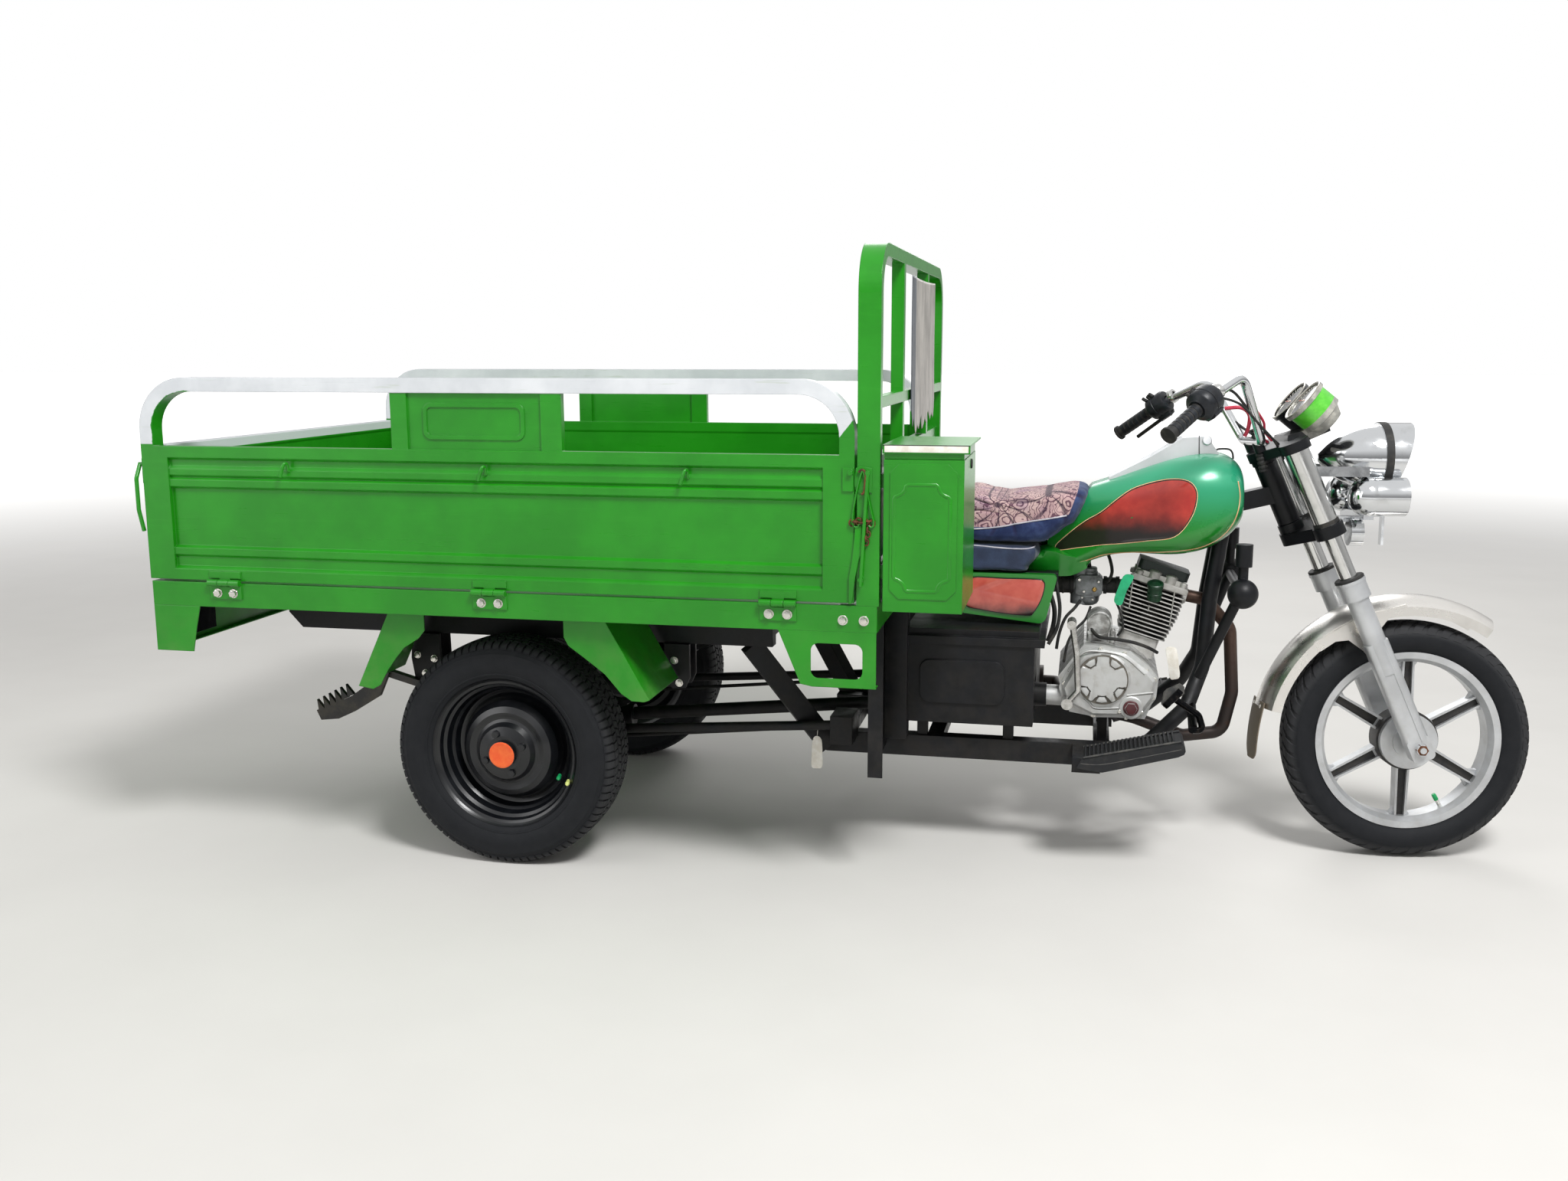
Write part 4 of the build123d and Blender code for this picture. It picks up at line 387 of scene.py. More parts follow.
def coated_cloth(name):
    """Dark blue coated seat cloth: leathery grain, lighter and darker in cloudy patches."""
    material, tree, shader, coords = surface(name, roughness=0.6, Sheen_Weight=0.2)
    clouds = mottle(tree, coords, 50.0, 5.0, 0.6)
    grain = add(tree, "TexVoronoi", coords, Scale=420.0)
    colour = shades(tree, clouds, 0.35, 0.75, "#17243F", "#2A3A58")
    finish(tree, shader, colour)
    bumped(tree, shader, add(tree, "Math ADD", grain, add(tree, "Math MULTIPLY", clouds, 1.5)), 0.4, 0.6)
    return material


BUTTONS = ((2028, 876, 10, 0.4), (2150, 905, 7, 1.9))


def printed_cloth(name):
    """Quilted cotton cover in dusty rose with plum flowers, pinched at its buttons, with painted shade along
    the creases that run out of them and in their dimples; its skirt and front roll are dark blue cloth."""
    material, tree, shader, coords = surface(name, roughness=0.85, Specular_IOR_Level=0.2,
                                             Sheen_Weight=0.15)
    warp = add(tree, "TexNoise", coords, Scale=34.0, Detail=2.0, out="Color")
    pushed = add(tree, "VectorMath MULTIPLY", warp, (0.022, 0.022, 0.022))
    bent = add(tree, "VectorMath ADD", coords, pushed)
    flower = add(tree, "TexVoronoi", bent, Scale=24.0, Randomness=0.8)
    rings = add(tree, "Math SINE", add(tree, "Math MULTIPLY", flower, 30.0))
    petals = add(tree, "Math MULTIPLY", add(tree, "MapRange SMOOTHSTEP", rings, 0.35, 0.75),
                 add(tree, "MapRange SMOOTHSTEP", flower, 0.56, 0.5))
    vines = add(tree, "TexWave", bent, Scale=34.0, Distortion=14.0, Detail=2.0, Detail_Scale=1.2, out="Fac")
    stems = add(tree, "Math MULTIPLY", add(tree, "MapRange SMOOTHSTEP", vines, 0.84, 0.93),
                add(tree, "MapRange SMOOTHSTEP", flower, 0.4, 0.5))
    rose = shades(tree, mottle(tree, coords, 45.0, 3.0), 0.3, 0.7, "#B59397", "#CDB0AC")
    bloom = add(tree, "MapRange SMOOTHSTEP", mottle(tree, bent, 60.0, 1.0, 0.4), 0.56, 0.66)
    rose = filmed(tree, rose, bloom, 0.35, "#8F6E96")
    line = add(tree, "Math MAXIMUM", petals, stems)
    print_cloth = filmed(tree, rose, line, 0.85, "#4E2742")
    station, height = (add(tree, "SeparateXYZ", coords, out=axis) for axis in "XZ")
    # Painted shade: a dark plum film along the creases that fan out from each button and in its dimple.
    fold = None
    for place_x, place_z, spokes, phase in BUTTONS:
        dx = add(tree, "Math SUBTRACT", station, (place_x - BED_TO_MIDDLE) / 1000)
        dz = add(tree, "Math MULTIPLY", add(tree, "Math SUBTRACT", height, place_z / 1000), 1.3)
        turn = add(tree, "Math ARCTAN2", dz, dx)
        squares = add(tree, "Math ADD", add(tree, "Math MULTIPLY", dx, dx),
                      add(tree, "Math MULTIPLY", dz, dz))
        far = add(tree, "Math POWER", squares, 0.5)
        swing = add(tree, "Math ADD", add(tree, "Math MULTIPLY", turn, spokes / 2),
                    add(tree, "Math MULTIPLY", far, 20.0))
        wave = add(tree, "Math SINE", add(tree, "Math ADD", swing, phase))
        near = add(tree, "Math ABSOLUTE", wave)
        crease = add(tree, "Math MULTIPLY", add(tree, "MapRange SMOOTHSTEP", near, 0.4, 0.08),
                     add(tree, "MapRange SMOOTHSTEP", far, 0.15, 0.04))
        crease = add(tree, "Math MAXIMUM", crease, add(tree, "MapRange SMOOTHSTEP", far, 0.012, 0.006))
        fold = crease if fold is None else add(tree, "Math MAXIMUM", fold, crease)
    fall = add(tree, "MapRange", station, (2018 - BED_TO_MIDDLE) / 1000, (2198 - BED_TO_MIDDLE) / 1000,
               0.8205, 0.8545)
    below = add(tree, "MapRange SMOOTHSTEP", add(tree, "Math SUBTRACT", height, fall), 0.0006, -0.0006)
    reach = add(tree, "Math ADD", add(tree, "Math MULTIPLY", height, 0.34),
                (2200 - BED_TO_MIDDLE) / 1000 - 0.85 * 0.34)
    ahead = add(tree, "MapRange SMOOTHSTEP", add(tree, "Math SUBTRACT", station, reach), -0.0006, 0.0006)
    clouds = mottle(tree, coords, 40.0, 5.0, 0.6)
    blue = shades(tree, clouds, 0.35, 0.72, "#222E55", "#3D4D78")
    colour = add(tree, "Mix RGBA", add(tree, "Math MAXIMUM", below, ahead), print_cloth, blue)
    # The painted shade in the creases lies over print and blue cloth alike.
    finish(tree, shader, filmed(tree, colour, fold, 0.8, "#251532"))
    weave = add(tree, "TexVoronoi", coords, Scale=900.0)
    bumped(tree, shader, weave, 0.3, 0.3)
    return material


def worn_film(name):
    """Old plastic film: milky and half clear, crazed and dusty; its near strip has gone dark blue-grey."""
    material, tree, shader, coords = surface(name, roughness=0.42)
    clouds = mottle(tree, coords, 70.0, 6.0, 0.7, (1, 1, 0.45))
    across = add(tree, "SeparateXYZ", coords, out="Y")
    dark = add(tree, "MapRange SMOOTHSTEP", across, -0.06, -0.075)
    milky = shades(tree, clouds, 0.35, 0.7, "#8B8781", "#B8B3AC")
    blue = shades(tree, clouds, 0.35, 0.7, "#2E333C", "#5B6068")
    colour = add(tree, "Mix RGBA", dark, milky, blue)
    finish(tree, shader, colour)
    bumped(tree, shader, clouds, 0.5, 4.0)
    return material


def tail_lens(name):
    """Red moulded lens over the lamp's black moulded body."""
    material, tree, shader, coords = surface(name, roughness=0.12, Coat_Weight=1.0)
    clouds = mottle(tree, coords, 20.0, 4.0)
    red = shades(tree, clouds, 0.3, 0.7, "#7A0A0A", "#9A1410")
    station = add(tree, "SeparateXYZ", coords, out="X")
    edge = (-4.2 - BED_TO_MIDDLE) / 1000
    body = add(tree, "MapRange SMOOTHSTEP", station, edge, edge + 0.0006)
    finish(tree, shader, add(tree, "Mix RGBA", body, red, linear("#0C0D10")))
    return material


def lamp_glass(name, colour="#E8EEF0"):
    """Clear pressed lamp glass over a bright bowl: shiny, with fine upright flutes."""
    material, tree, shader, coords = surface(name, metallic=0.6, roughness=0.08, Coat_Weight=1.0)
    flutes = add(tree, "TexWave", coords, Scale=60.0, bands_direction="Y", out="Fac")
    finish(tree, shader, add(tree, "Mix RGBA", flutes, linear("#9FA6AA"), linear(colour)))
    bumped(tree, shader, flutes, 0.4, 0.6)
    return material


def gauge_cups(name):
    """Black moulded gauge cups; the near one has a silver rim and back with a lime band painted between."""
    material, tree, shader, coords = surface(name, roughness=0.35, Coat_Weight=0.3)
    middle = turn_matrix() @ place(GAUGE_PLACE[0], -GAUGE_HALF, GAUGE_PLACE[1])
    tilt = turn_matrix().to_3x3() @ GAUGE_FACE
    away = add(tree, "VectorMath SUBTRACT", coords, middle)
    deep = add(tree, "VectorMath DOT_PRODUCT", away, tilt)
    line = add(tree, "VectorMath SCALE", tilt, deep)
    off = add(tree, "VectorMath SUBTRACT", away, line)
    radius = add(tree, "VectorMath LENGTH", off)
    near = add(tree, "Math MULTIPLY", add(tree, "MapRange SMOOTHSTEP", deep, -0.0925, -0.0915),
               add(tree, "MapRange SMOOTHSTEP", radius, 0.059, 0.0585))
    near = add(tree, "Math MULTIPLY", near, add(tree, "MapRange SMOOTHSTEP", radius, 0.0295, 0.0305))
    clouds = mottle(tree, coords, 22.0, 5.0, 0.6)
    band = add(tree, "Math MULTIPLY", add(tree, "MapRange SMOOTHSTEP", deep, -0.0485, -0.0478),
               add(tree, "MapRange SMOOTHSTEP", deep, -0.0105, -0.0112))
    black = shades(tree, clouds, 0.35, 0.75, "#0C0D10", "#24262A")
    silver = shades(tree, clouds, 0.35, 0.7, "#85857F", "#B4B2A8")
    lime = shades(tree, clouds, 0.4, 0.7, "#4FB82E", "#66CC40")
    finish(tree, shader, add(tree, "Mix RGBA", near, black, add(tree, "Mix RGBA", band, silver, lime)))
    return material


def finned_casting(name):
    """Finned cylinder casting: fins bright on their rims, the recessed faces between them near-black as
    painted shade, a pale head, and the rocker cover above painted dark grey-green as painted shade."""
    material, tree, shader, coords = surface(name, metallic=0.5, roughness=0.5)
    away = add(tree, "VectorMath SUBTRACT", coords, place(*CYLINDER_FOOT))

    def along(axis):
        return add(tree, "VectorMath DOT_PRODUCT", away, axis)

    def size(value):
        return add(tree, "Math ABSOLUTE", value)

    up = along(CYLINDER_UP)
    fore = size(along(CYLINDER_FORE))
    across = size(along((0, 1, 0)))
    edge = add(tree, "Math ADD", add(tree, "Math MULTIPLY", up, 0.16), 0.0575)
    edge = add(tree, "Math MINIMUM", edge, 0.0695)
    rim = add(tree, "Math MAXIMUM", add(tree, "MapRange SMOOTHSTEP", across, 0.05, 0.0585),
              add(tree, "MapRange SMOOTHSTEP", add(tree, "Math SUBTRACT", fore, edge), -0.008, 0.0012))
    clouds = mottle(tree, coords, 24.0, 5.0, 0.6)
    bright = shades(tree, clouds, 0.3, 0.7, "#B9B7B2", "#D6D5D2")
    # Painted shade: near-black on the faces between the fins, away from their rims.
    dark = shades(tree, clouds, 0.35, 0.7, "#16120F", "#2E2722")
    fins = add(tree, "Math MULTIPLY", add(tree, "MapRange SMOOTHSTEP", up, 0.01, 0.013),
               add(tree, "MapRange SMOOTHSTEP", up, 0.1425, 0.1405))
    colour = add(tree, "Mix RGBA", fins, bright, add(tree, "Mix RGBA", rim, dark, bright))
    # Painted shade: the rocker cover above the head is dark grey-green.
    colour = add(tree, "Mix RGBA", add(tree, "MapRange SMOOTHSTEP", up, 0.17, 0.1715), colour,
                 linear("#303634"))
    finish(tree, shader, colour)
    bumped(tree, shader, mottle(tree, coords, 1.6, 3.0, 0.6), 0.3, 0.3)
    return material


def pedal_steel(name):
    """Dull pale kick lever of cast steel; the brake pedal ahead of it is black paint worn at its edges."""
    material, tree, shader, coords = surface(name, metallic=0.9, roughness=0.26)
    clouds = mottle(tree, coords, 16.0, 5.0, 0.6)
    steel = shades(tree, clouds, 0.35, 0.7, "#A8A6A2", "#CDCCC9")
    black = shades(tree, clouds, 0.5, 0.75, "#0C0D10", "#3A3430")
    station = add(tree, "SeparateXYZ", coords, out="X")
    split = (2350 - BED_TO_MIDDLE) / 1000
    ahead = add(tree, "MapRange SMOOTHSTEP", station, split, split + 0.001)
    finish(tree, shader, add(tree, "Mix RGBA", ahead, steel, black))
    return material


enamel = bed_enamel("green_brushed_enamel")
enamel_rail = bed_enamel("green_enamel_white_rail", white_rail=True)
enamel_gate = bed_enamel("green_enamel_white_edge", white_top=1.008)
enamel_step = bed_enamel("green_enamel_black_step", black_below=(1000 - BED_TO_MIDDLE) / 1000)
frame_black = chassis_paint("dusty_black_frame_paint", dust=0.22)
clean_black = chassis_paint("black_frame_paint", dust=0.1)
gloss_black = wheel_enamel("black_wheel_enamel")
chrome = bright_plate("chromium_plate")
hazed_chrome = bright_plate("hazed_chromium_plate", "#D6D6D4", (0.10, 0.26), 0.25)
fender_plate = bright_plate("dusty_chromium_fender", "#E6E3DE", (0.24, 0.4), 0.2, 90.0)
zinc = bright_plate("zinc_plated_steel", "#D9D7D0", (0.2, 0.36), 0.25)
fork_silver = silver_lacquer("silver_lacquered_casting")
trim_silver = silver_lacquer("silver_lacquered_trim", "#DCDEE1", "#D0D2D5")
# Its inner body behind the side cover carries patchy painted shade.
cast_alloy = raw_casting("sand_cast_aluminium", "#CDCECD", "#C3C3C1", "#B4B1AB", 0.148)
head_alloy = raw_casting("dull_head_casting", "#BDBCB8", "#A5A39E", "#7A746C")
# Painted shade for the side cover: the star's notch floors and the lines under its ribs.
painted_recess_shade = plain_coat("painted_shade_line", "#4E4942", 0.7, other="#6E6960")
carb_alloy = raw_casting("oily_grey_casting", "#8F9294", "#6A6C6D", "#3E3C39")
# The faces between the fins and the rocker cover carry painted shade.
fin_alloy = finned_casting("cast_fins_with_painted_shade")
lever_steel = pedal_steel("dull_steel_levers")
rust = rusted("flaky_rust")
pipe = heated_pipe("heat_browned_exhaust")
tank_green = tank_lacquer("blue_green_tank_lacquer")
tank_red = red_lacquer("fading_red_tank_panel", 880.0, 806.0)
cover_red = red_lacquer("red_cover_panel", 640.0, 596.0, "#B4473B", "#C25A4B")
pin_dark = plain_coat("dark_pin_line", "#140C0A", 0.3)
pin_cream = plain_coat("cream_pin_line", "#E0A878", 0.35, other="#E8C49A")
white_band = plain_coat("yellowed_white_plastic", "#D8D2C6", 0.5, other="#ECE9E2")
piping = plain_coat("pale_vinyl_piping", "#A9A7B4", 0.45, other="#C9C7CF")
brass = bright_plate("dull_brass_screw", "#B08D4C", (0.25, 0.4), 0.3)
# Grey rubber of the brake pedal's pad, also the painted highlight on the foot rests' lips.
pedal_rubber_and_lip_highlight = plain_coat("worn_grey_rubber_and_painted_lip_highlight", "#2E2F30", 0.6, other="#55534F")
filler_brown = plain_coat("brown_moulded_filler_cap", "#4A2226", 0.4, other="#5E2E30")
plug_green = plain_coat("dark_green_plug_boot", "#052814", 0.4, other="#0A3C20")
tag_green = plain_coat("green_plastic_tag", "#17A06C", 0.4, other="#22B57C")
valve_green = plain_coat("green_valve_cap", "#0E8A4C", 0.35, other="#19A862")
valve_yellow = plain_coat("yellow_green_valve_cap", "#C8D46A", 0.4, other="#D8E08A")
inlay_dark = plain_coat("dark_wheel_inlay", "#2B2B2D", 0.45, other="#3A3835", metallic=0.3)
switch_black = plain_coat("satin_black_switch_moulding", "#0D0F13", 0.38, other="#1C2026",
                          Specular_IOR_Level=0.35)
lead_red = plain_coat("red_cable_sleeve", "#A8203A", 0.4, other="#BC2E48")
silver_ring = bright_plate("gauge_rim_plate", "#B9B6AC", (0.2, 0.34), 0.1)
dial = plain_coat("black_dial_under_glass", "#0A0B0D", 0.06, other="#14161A", Coat_Weight=1.0)
lens = lamp_glass("fluted_lamp_glass")
gauge_black = gauge_cups("banded_gauge_cups")
rubber = moulded_rubber("moulded_black_rubber")
tan_rubber = moulded_rubber("dusty_tan_rubber", "#6B6152")
foot_rubber = moulded_rubber("foot_rest_rubber", "#0E1014", 0.12)
seat_cloth = coated_cloth("blue_coated_seat_cloth")
cushion_cloth = printed_cloth("printed_cotton_cover")
film = worn_film("worn_plastic_film")
red_lens = tail_lens("red_moulded_lens")
orange = plain_coat("orange_enamel_disc", "#E2501E", 0.35, other="#EA6A2C")
rear_rubber = {}
for side, sign in (("right", -1), ("left", 1)):
    hub = place(REAR_AXLE.x, sign * HALF_TRACK, REAR_AXLE.z)
    rear_rubber[side] = tyre_rubber(f"rear_tyre_rubber_{side}", hub)
front_rubber = tyre_rubber("front_tyre_rubber", place(*FRONT_AXLE))

NODE_FINISH = {"bed_frame": enamel, "headboard": enamel, "hung_sheet": film, "toolbox": enamel,
               "rear_apron": enamel, "tail_lamps": red_lens, "mudguards": enamel, "steps": enamel_step,
               "chassis_rails": frame_black, "chassis_crossmembers": frame_black,
               "frame_drops": frame_black, "lower_rails": frame_black, "lower_crossmembers": frame_black,
               "down_tubes": clean_black, "backbone": clean_black, "crankcase": cast_alloy,
               "cylinder": fin_alloy, "carburettor": carb_alloy, "exhaust": pipe,
               "foot_controls": lever_steel, "fuel_tank": tank_green, "tank_console": trim_silver,
               "seat_base": seat_cloth, "seat_cushion": cushion_cloth, "side_covers": tank_green,
               "battery_box": frame_black, "footboards": rubber, "leg_guard": clean_black,
               "leaf_springs": frame_black, "rear_axle": frame_black, "drive_shaft": frame_black,
               "thrust_rods": frame_black, "side_board_right": enamel_rail, "side_board_left": enamel_rail,
               "tailgate": enamel_gate, "toolbox_lid": enamel, "rear_wheel_right": gloss_black,
               "rear_wheel_left": gloss_black, "rear_tyre_right": rear_rubber["right"],
               "rear_tyre_left": rear_rubber["left"], "front_tyre": front_rubber,
               "front_wheel": fork_silver, "front_axle": fork_silver, "fork_sliders": fork_silver,
               "fork_tubes": hazed_chrome, "fork_yokes": clean_black, "handlebar": chrome, "grips": rubber,
               "front_fender": fender_plate, "mud_flap": tan_rubber, "instruments": gauge_black,
               "headlamp": chrome, "spot_lamps": chrome}
for name, material in NODE_FINISH.items():
    slots = nodes[name].data.materials
    slots.clear()
    slots.append(material)


# Making of the modelled pieces


def axes(origin, u, v):
    """Frame whose millimetres run along u and v and out of them, for a matrix."""
    u, v = Vector(u).normalized(), Vector(v).normalized()
    turn = Matrix((u, v, u.cross(v))).transposed().to_4x4()
    return Matrix.Translation(origin) @ turn @ Matrix.Scale(0.001, 4)


def absorb(grid, part, material=0):
    """Move a small mesh into the piece that it belongs to."""
    for face in part.faces:
        face.material_index = material
    mesh = bpy.data.meshes.new("part")
    part.to_mesh(mesh)
    part.free()
    grid.from_mesh(mesh)
    bpy.data.meshes.remove(mesh)


def lathe(grid, outline, at, along, steps=48, closed=False, material=0):
    """Round form from an outline of radius and place along its axis, in millimetres."""
    part = bmesh.new()
    along = Vector(along).normalized()
    side = along.orthogonal().normalized()
    points = [part.verts.new(at + side * (r / 1000) + along * (a / 1000)) for r, a in outline]
    edges = [part.edges.new(pair) for pair in zip(points, points[1:])]
    if closed:
        edges.append(part.edges.new((points[-1], points[0])))
    bmesh.ops.spin(part, geom=points + edges, cent=at, axis=along, angle=2 * pi, steps=steps,
                   use_merge=True)
    bmesh.ops.remove_doubles(part, verts=part.verts, dist=1e-6)
    bmesh.ops.recalc_face_normals(part, faces=part.faces)
    absorb(grid, part, material)


def prism(grid, outline, where, deep, bevel=0.0, material=0, segments=2):
    """Plate of an outline's shape, deep millimetres thick, its outer edge rounded."""
    part = bmesh.new()
    low = [part.verts.new((u, v, 0)) for u, v in outline]
    high = [part.verts.new((u, v, deep)) for u, v in outline]
    part.faces.new(low[::-1])
    part.faces.new(high)
    for index in range(len(outline)):
        after = (index + 1) % len(outline)
        part.faces.new((low[index], low[after], high[after], high[index]))
    if bevel:
        rims = [edge for edge in part.edges if all(abs(v.co.z - deep) < 1e-6 for v in edge.verts)]
        bmesh.ops.bevel(part, geom=rims, offset=bevel, segments=segments, profile=0.5, affect="EDGES",
                        material=-1)
    bmesh.ops.transform(part, matrix=where, verts=part.verts)
    bmesh.ops.recalc_face_normals(part, faces=part.faces)
    absorb(grid, part, material)


def smooth_line(points, steps=6, closed=False):
    """Points of a soft line through the given ones."""
    count = len(points)
    made = []
    for index in range(count if closed else count - 1):
        if closed:
            a, b, c, d = (points[(index + k) % count] for k in (-1, 0, 1, 2))
        else:
            a, b, c, d = (points[min(max(index + k, 0), count - 1)] for k in (-1, 0, 1, 2))
        for step in range(steps):
            t = step / steps
            twice = b * 2 + (c - a) * t + (a * 2 - b * 5 + c * 4 - d) * t * t
            twice += (b * 3 - a - c * 3 + d) * t ** 3
            made.append(twice / 2)
    return made if closed else made + [points[-1].copy()]


def tube(grid, points, radius, steps=8, material=0, taper=None):
    """Round wire or hose along a line, its ends closed; radius in millimetres."""
    part = bmesh.new()
    rings = []
    side = (points[1] - points[0]).orthogonal().normalized()
    for index, point in enumerate(points):
        ahead = points[min(index + 1, len(points) - 1)] - points[max(index - 1, 0)]
        side = (side - ahead * (side.dot(ahead) / ahead.length_squared)).normalized()
        other = ahead.normalized().cross(side)
        size = (taper[index] if taper else radius) / 1000
        ways = [side * cos(2 * pi * k / steps) + other * sin(2 * pi * k / steps) for k in range(steps)]
        rings.append([part.verts.new(point + way * size) for way in ways])
    for first, second in zip(rings, rings[1:]):
        for k in range(steps):
            part.faces.new((first[k], first[(k + 1) % steps], second[(k + 1) % steps], second[k]))
    part.faces.new(rings[0][::-1])
    part.faces.new(rings[-1])
    bmesh.ops.recalc_face_normals(part, faces=part.faces)
    absorb(grid, part, material)


def finished(name, grid, materials, body, crease=35.0, turned=False):
    """The finished piece: smooth up to its creases, in its place, moving with its body."""
    if turned:
        bmesh.ops.transform(grid, matrix=turn_matrix(), verts=grid.verts)
    mesh = bpy.data.meshes.new(name)
    grid.to_mesh(mesh)
    grid.free()
    for material in materials:
        mesh.materials.append(material)
    mesh.shade_smooth()
    mesh.set_sharp_from_angle(angle=radians(crease))
    made = bpy.data.objects.new(name, mesh)
    bpy.context.collection.objects.link(made)
    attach(made, body)
    return made


def hexagon(size):
    """Corners of a bolt head of that half width."""
    return [(size * cos(pi / 3 * k), size * sin(pi / 3 * k)) for k in range(6)]


def bolt(grid, at, out, washer=10.5, head=7.5, high=5.5, material=0):
    """Washer and hexagon head on a face."""
    out = Vector(out).normalized()
    lathe(grid, ((0, -0.5), (washer, -0.5), (washer, 1.0), (washer - 0.6, 1.6), (0, 1.6)), at, out, 24,
          material=material)
    prism(grid, hexagon(head), axes(at + out * 0.0015, out.orthogonal(), out.cross(out.orthogonal())), high,
          0.7, material=material)


def surface_of(*names):
    """Search tree over the CAD nodes' faces."""
    corners, faces = [], []
    for name in names:
        mesh = nodes[name].data
        base = len(corners)
        corners += [nodes[name].matrix_world @ v.co for v in mesh.vertices]
        faces += [[base + k for k in polygon.vertices] for polygon in mesh.polygons]
    return BVHTree.FromPolygons(corners, faces)


def laid(tree, x, z, side, lift=0.35):
    """Point of a body's side at that station and height, lifted off it a little."""
    start = place(x, side * 500, z)
    hit, normal, _, _ = tree.ray_cast(start, Vector((0, -side, 0)))
    if hit is None:
        return None
    if normal.y * side < 0:
        normal = -normal
    return hit + normal * (lift / 1000)


def skin(grid, rows, closed_rows, thick=0.5, material=0):
    """Thin closed skin from rows of points, its under side pushed in along the mean normal."""
    part = bmesh.new()
    top = [[part.verts.new(p) for p in row] for row in rows]
    count = len(rows[0])
    for first, second in zip(top, top[1:]):
        for k in range(count if closed_rows else count - 1):
            after = (k + 1) % count
            part.faces.new((first[k], first[after], second[after], second[k]))
    bmesh.ops.remove_doubles(part, verts=part.verts, dist=1e-6)
    bmesh.ops.recalc_face_normals(part, faces=part.faces)
    part.normal_update()
    bmesh.ops.solidify(part, geom=part.faces[:], thickness=thick / 1000)
    bmesh.ops.recalc_face_normals(part, faces=part.faces)
    absorb(grid, part, material)


def grown(line, amount):
    """Closed flat outline moved outwards by amount."""
    area = sum(a.x * b.y - b.x * a.y for a, b in zip(line, line[1:] + line[:1]))
    sign = 1 if area > 0 else -1
    made = []
    for index, point in enumerate(line):
        along = (line[(index + 1) % len(line)] - line[index - 1]).normalized()
        made.append(point + Vector((along.y, -along.x, 0)) * amount * sign)
    return made


def mask_panel(grid, tree, corners, side, lift=0.4, material=0):
    """Painted panel on a curved side, from its outline's corners."""
    line = smooth_line([Vector((x, z, 0)) for x, z in corners], 5, True)
    heart = sum(line, Vector()) / len(line)
    rows = []
    for share in (1.0, 0.93, 0.8, 0.62, 0.42, 0.2, 0.02):
        row = [laid(tree, *(heart + (p - heart) * share).xy, side, lift) for p in line]
        if all(row):
            rows.append(row)
    skin(grid, rows, True, 0.5, material)


def mask_line(grid, tree, corners, side, wide, out=0.0, closed=True, lift=0.6, material=0):
    """Painted line on a curved side, along an outline or an open row of places."""
    line = smooth_line([Vector((x, z, 0)) for x, z in corners], 5, closed)
    if closed:
        pair = grown(line, out - wide / 2), grown(line, out + wide / 2)
    else:
        turns = [(line[min(k + 1, len(line) - 1)] - line[max(k - 1, 0)]).normalized()
                 for k in range(len(line))]
        pair = [[p + Vector((-t.y, t.x, 0)) * s * wide / 2 for p, t in zip(line, turns)] for s in (-1, 1)]
    rows = [[laid(tree, p.x, p.y, side, lift) for p in row] for row in pair]
    if closed:
        if all(rows[0]) and all(rows[1]):
            skin(grid, rows, True, 0.4, material)
        return
    keep = [k for k in range(len(line)) if rows[0][k] and rows[1][k]]
    if len(keep) > 2:
        skin(grid, [[row[k] for k in keep] for row in rows], False, 0.4, material)


# Bed


def bed_bolts():
    """Zinc bolts: two in each hinge plate and two in each front corner of the sill."""
    grid = bmesh.new()
    for side in (-1, 1):
        for station in (203.0, 890.0, 1578.0):
            for x in (station - 21, station + 21):
                bolt(grid, place(x, side * (SILL_FACE + 4), 676), (0, side, 0), 11.5, 9.5, 6.5)
        for x in (1724, 1771):
            bolt(grid, place(x, side * SILL_FACE, 667), (0, side, 0), 11.5, 8.5, 5.5)
    return finished("sill_bolts", grid, [zinc], "chassis")


def frame_bolts():
    """Hanger bolts of the springs, the console's cap and the wire hook behind the steering head."""
    grid = bmesh.new()
    plates = surface_of("leaf_springs")
    for side in (-1, 1):
        for x, z in ((1251, 494), (1263, 437), (558, 478), (578, 430), (604, 470)):
            at = laid(plates, x, z, side, 0.0)
            if at is not None:
                bolt(grid, at, (0, side, 0), 10, 8, 6)
    finished("hanger_bolts", grid, [zinc], "chassis")
    grid = bmesh.new()
    for side in (-1, 1):
        low, high = sorted((side * 214, side * 262))
        prism(grid, ((1765, 296), (1822, 296), (1822, 672), (1765, 672)),
              axes(place(0, high, 0), (1, 0, 0), (0, 0, 1)), high - low, 2.0)
    finished("box_brackets", grid, [frame_black], "chassis")
    grid = bmesh.new()
    lathe(grid, ((0, -6), (12, -6), (12, 2), (10, 5), (0, 5)), place(2527, -44, 1034), (0.1, -1, 0.25), 28)
    tube(grid, [place(2508, -46.4, 1046), place(2509, -46.6, 1020), place(2510, -46.6, 998)], 1.1, 6, 1)
    hook = [(2552, -20, 1004), (2554, -20, 1011), (2570, -20, 1013), (2584, -20, 1011), (2591, -20, 1002),
            (2593, -20, 988)]
    tube(grid, smooth_line([place(*p) for p in hook], 6), 2.4, 8, 1)
    return finished("console_fittings", grid, [trim_silver, rubber], "chassis")


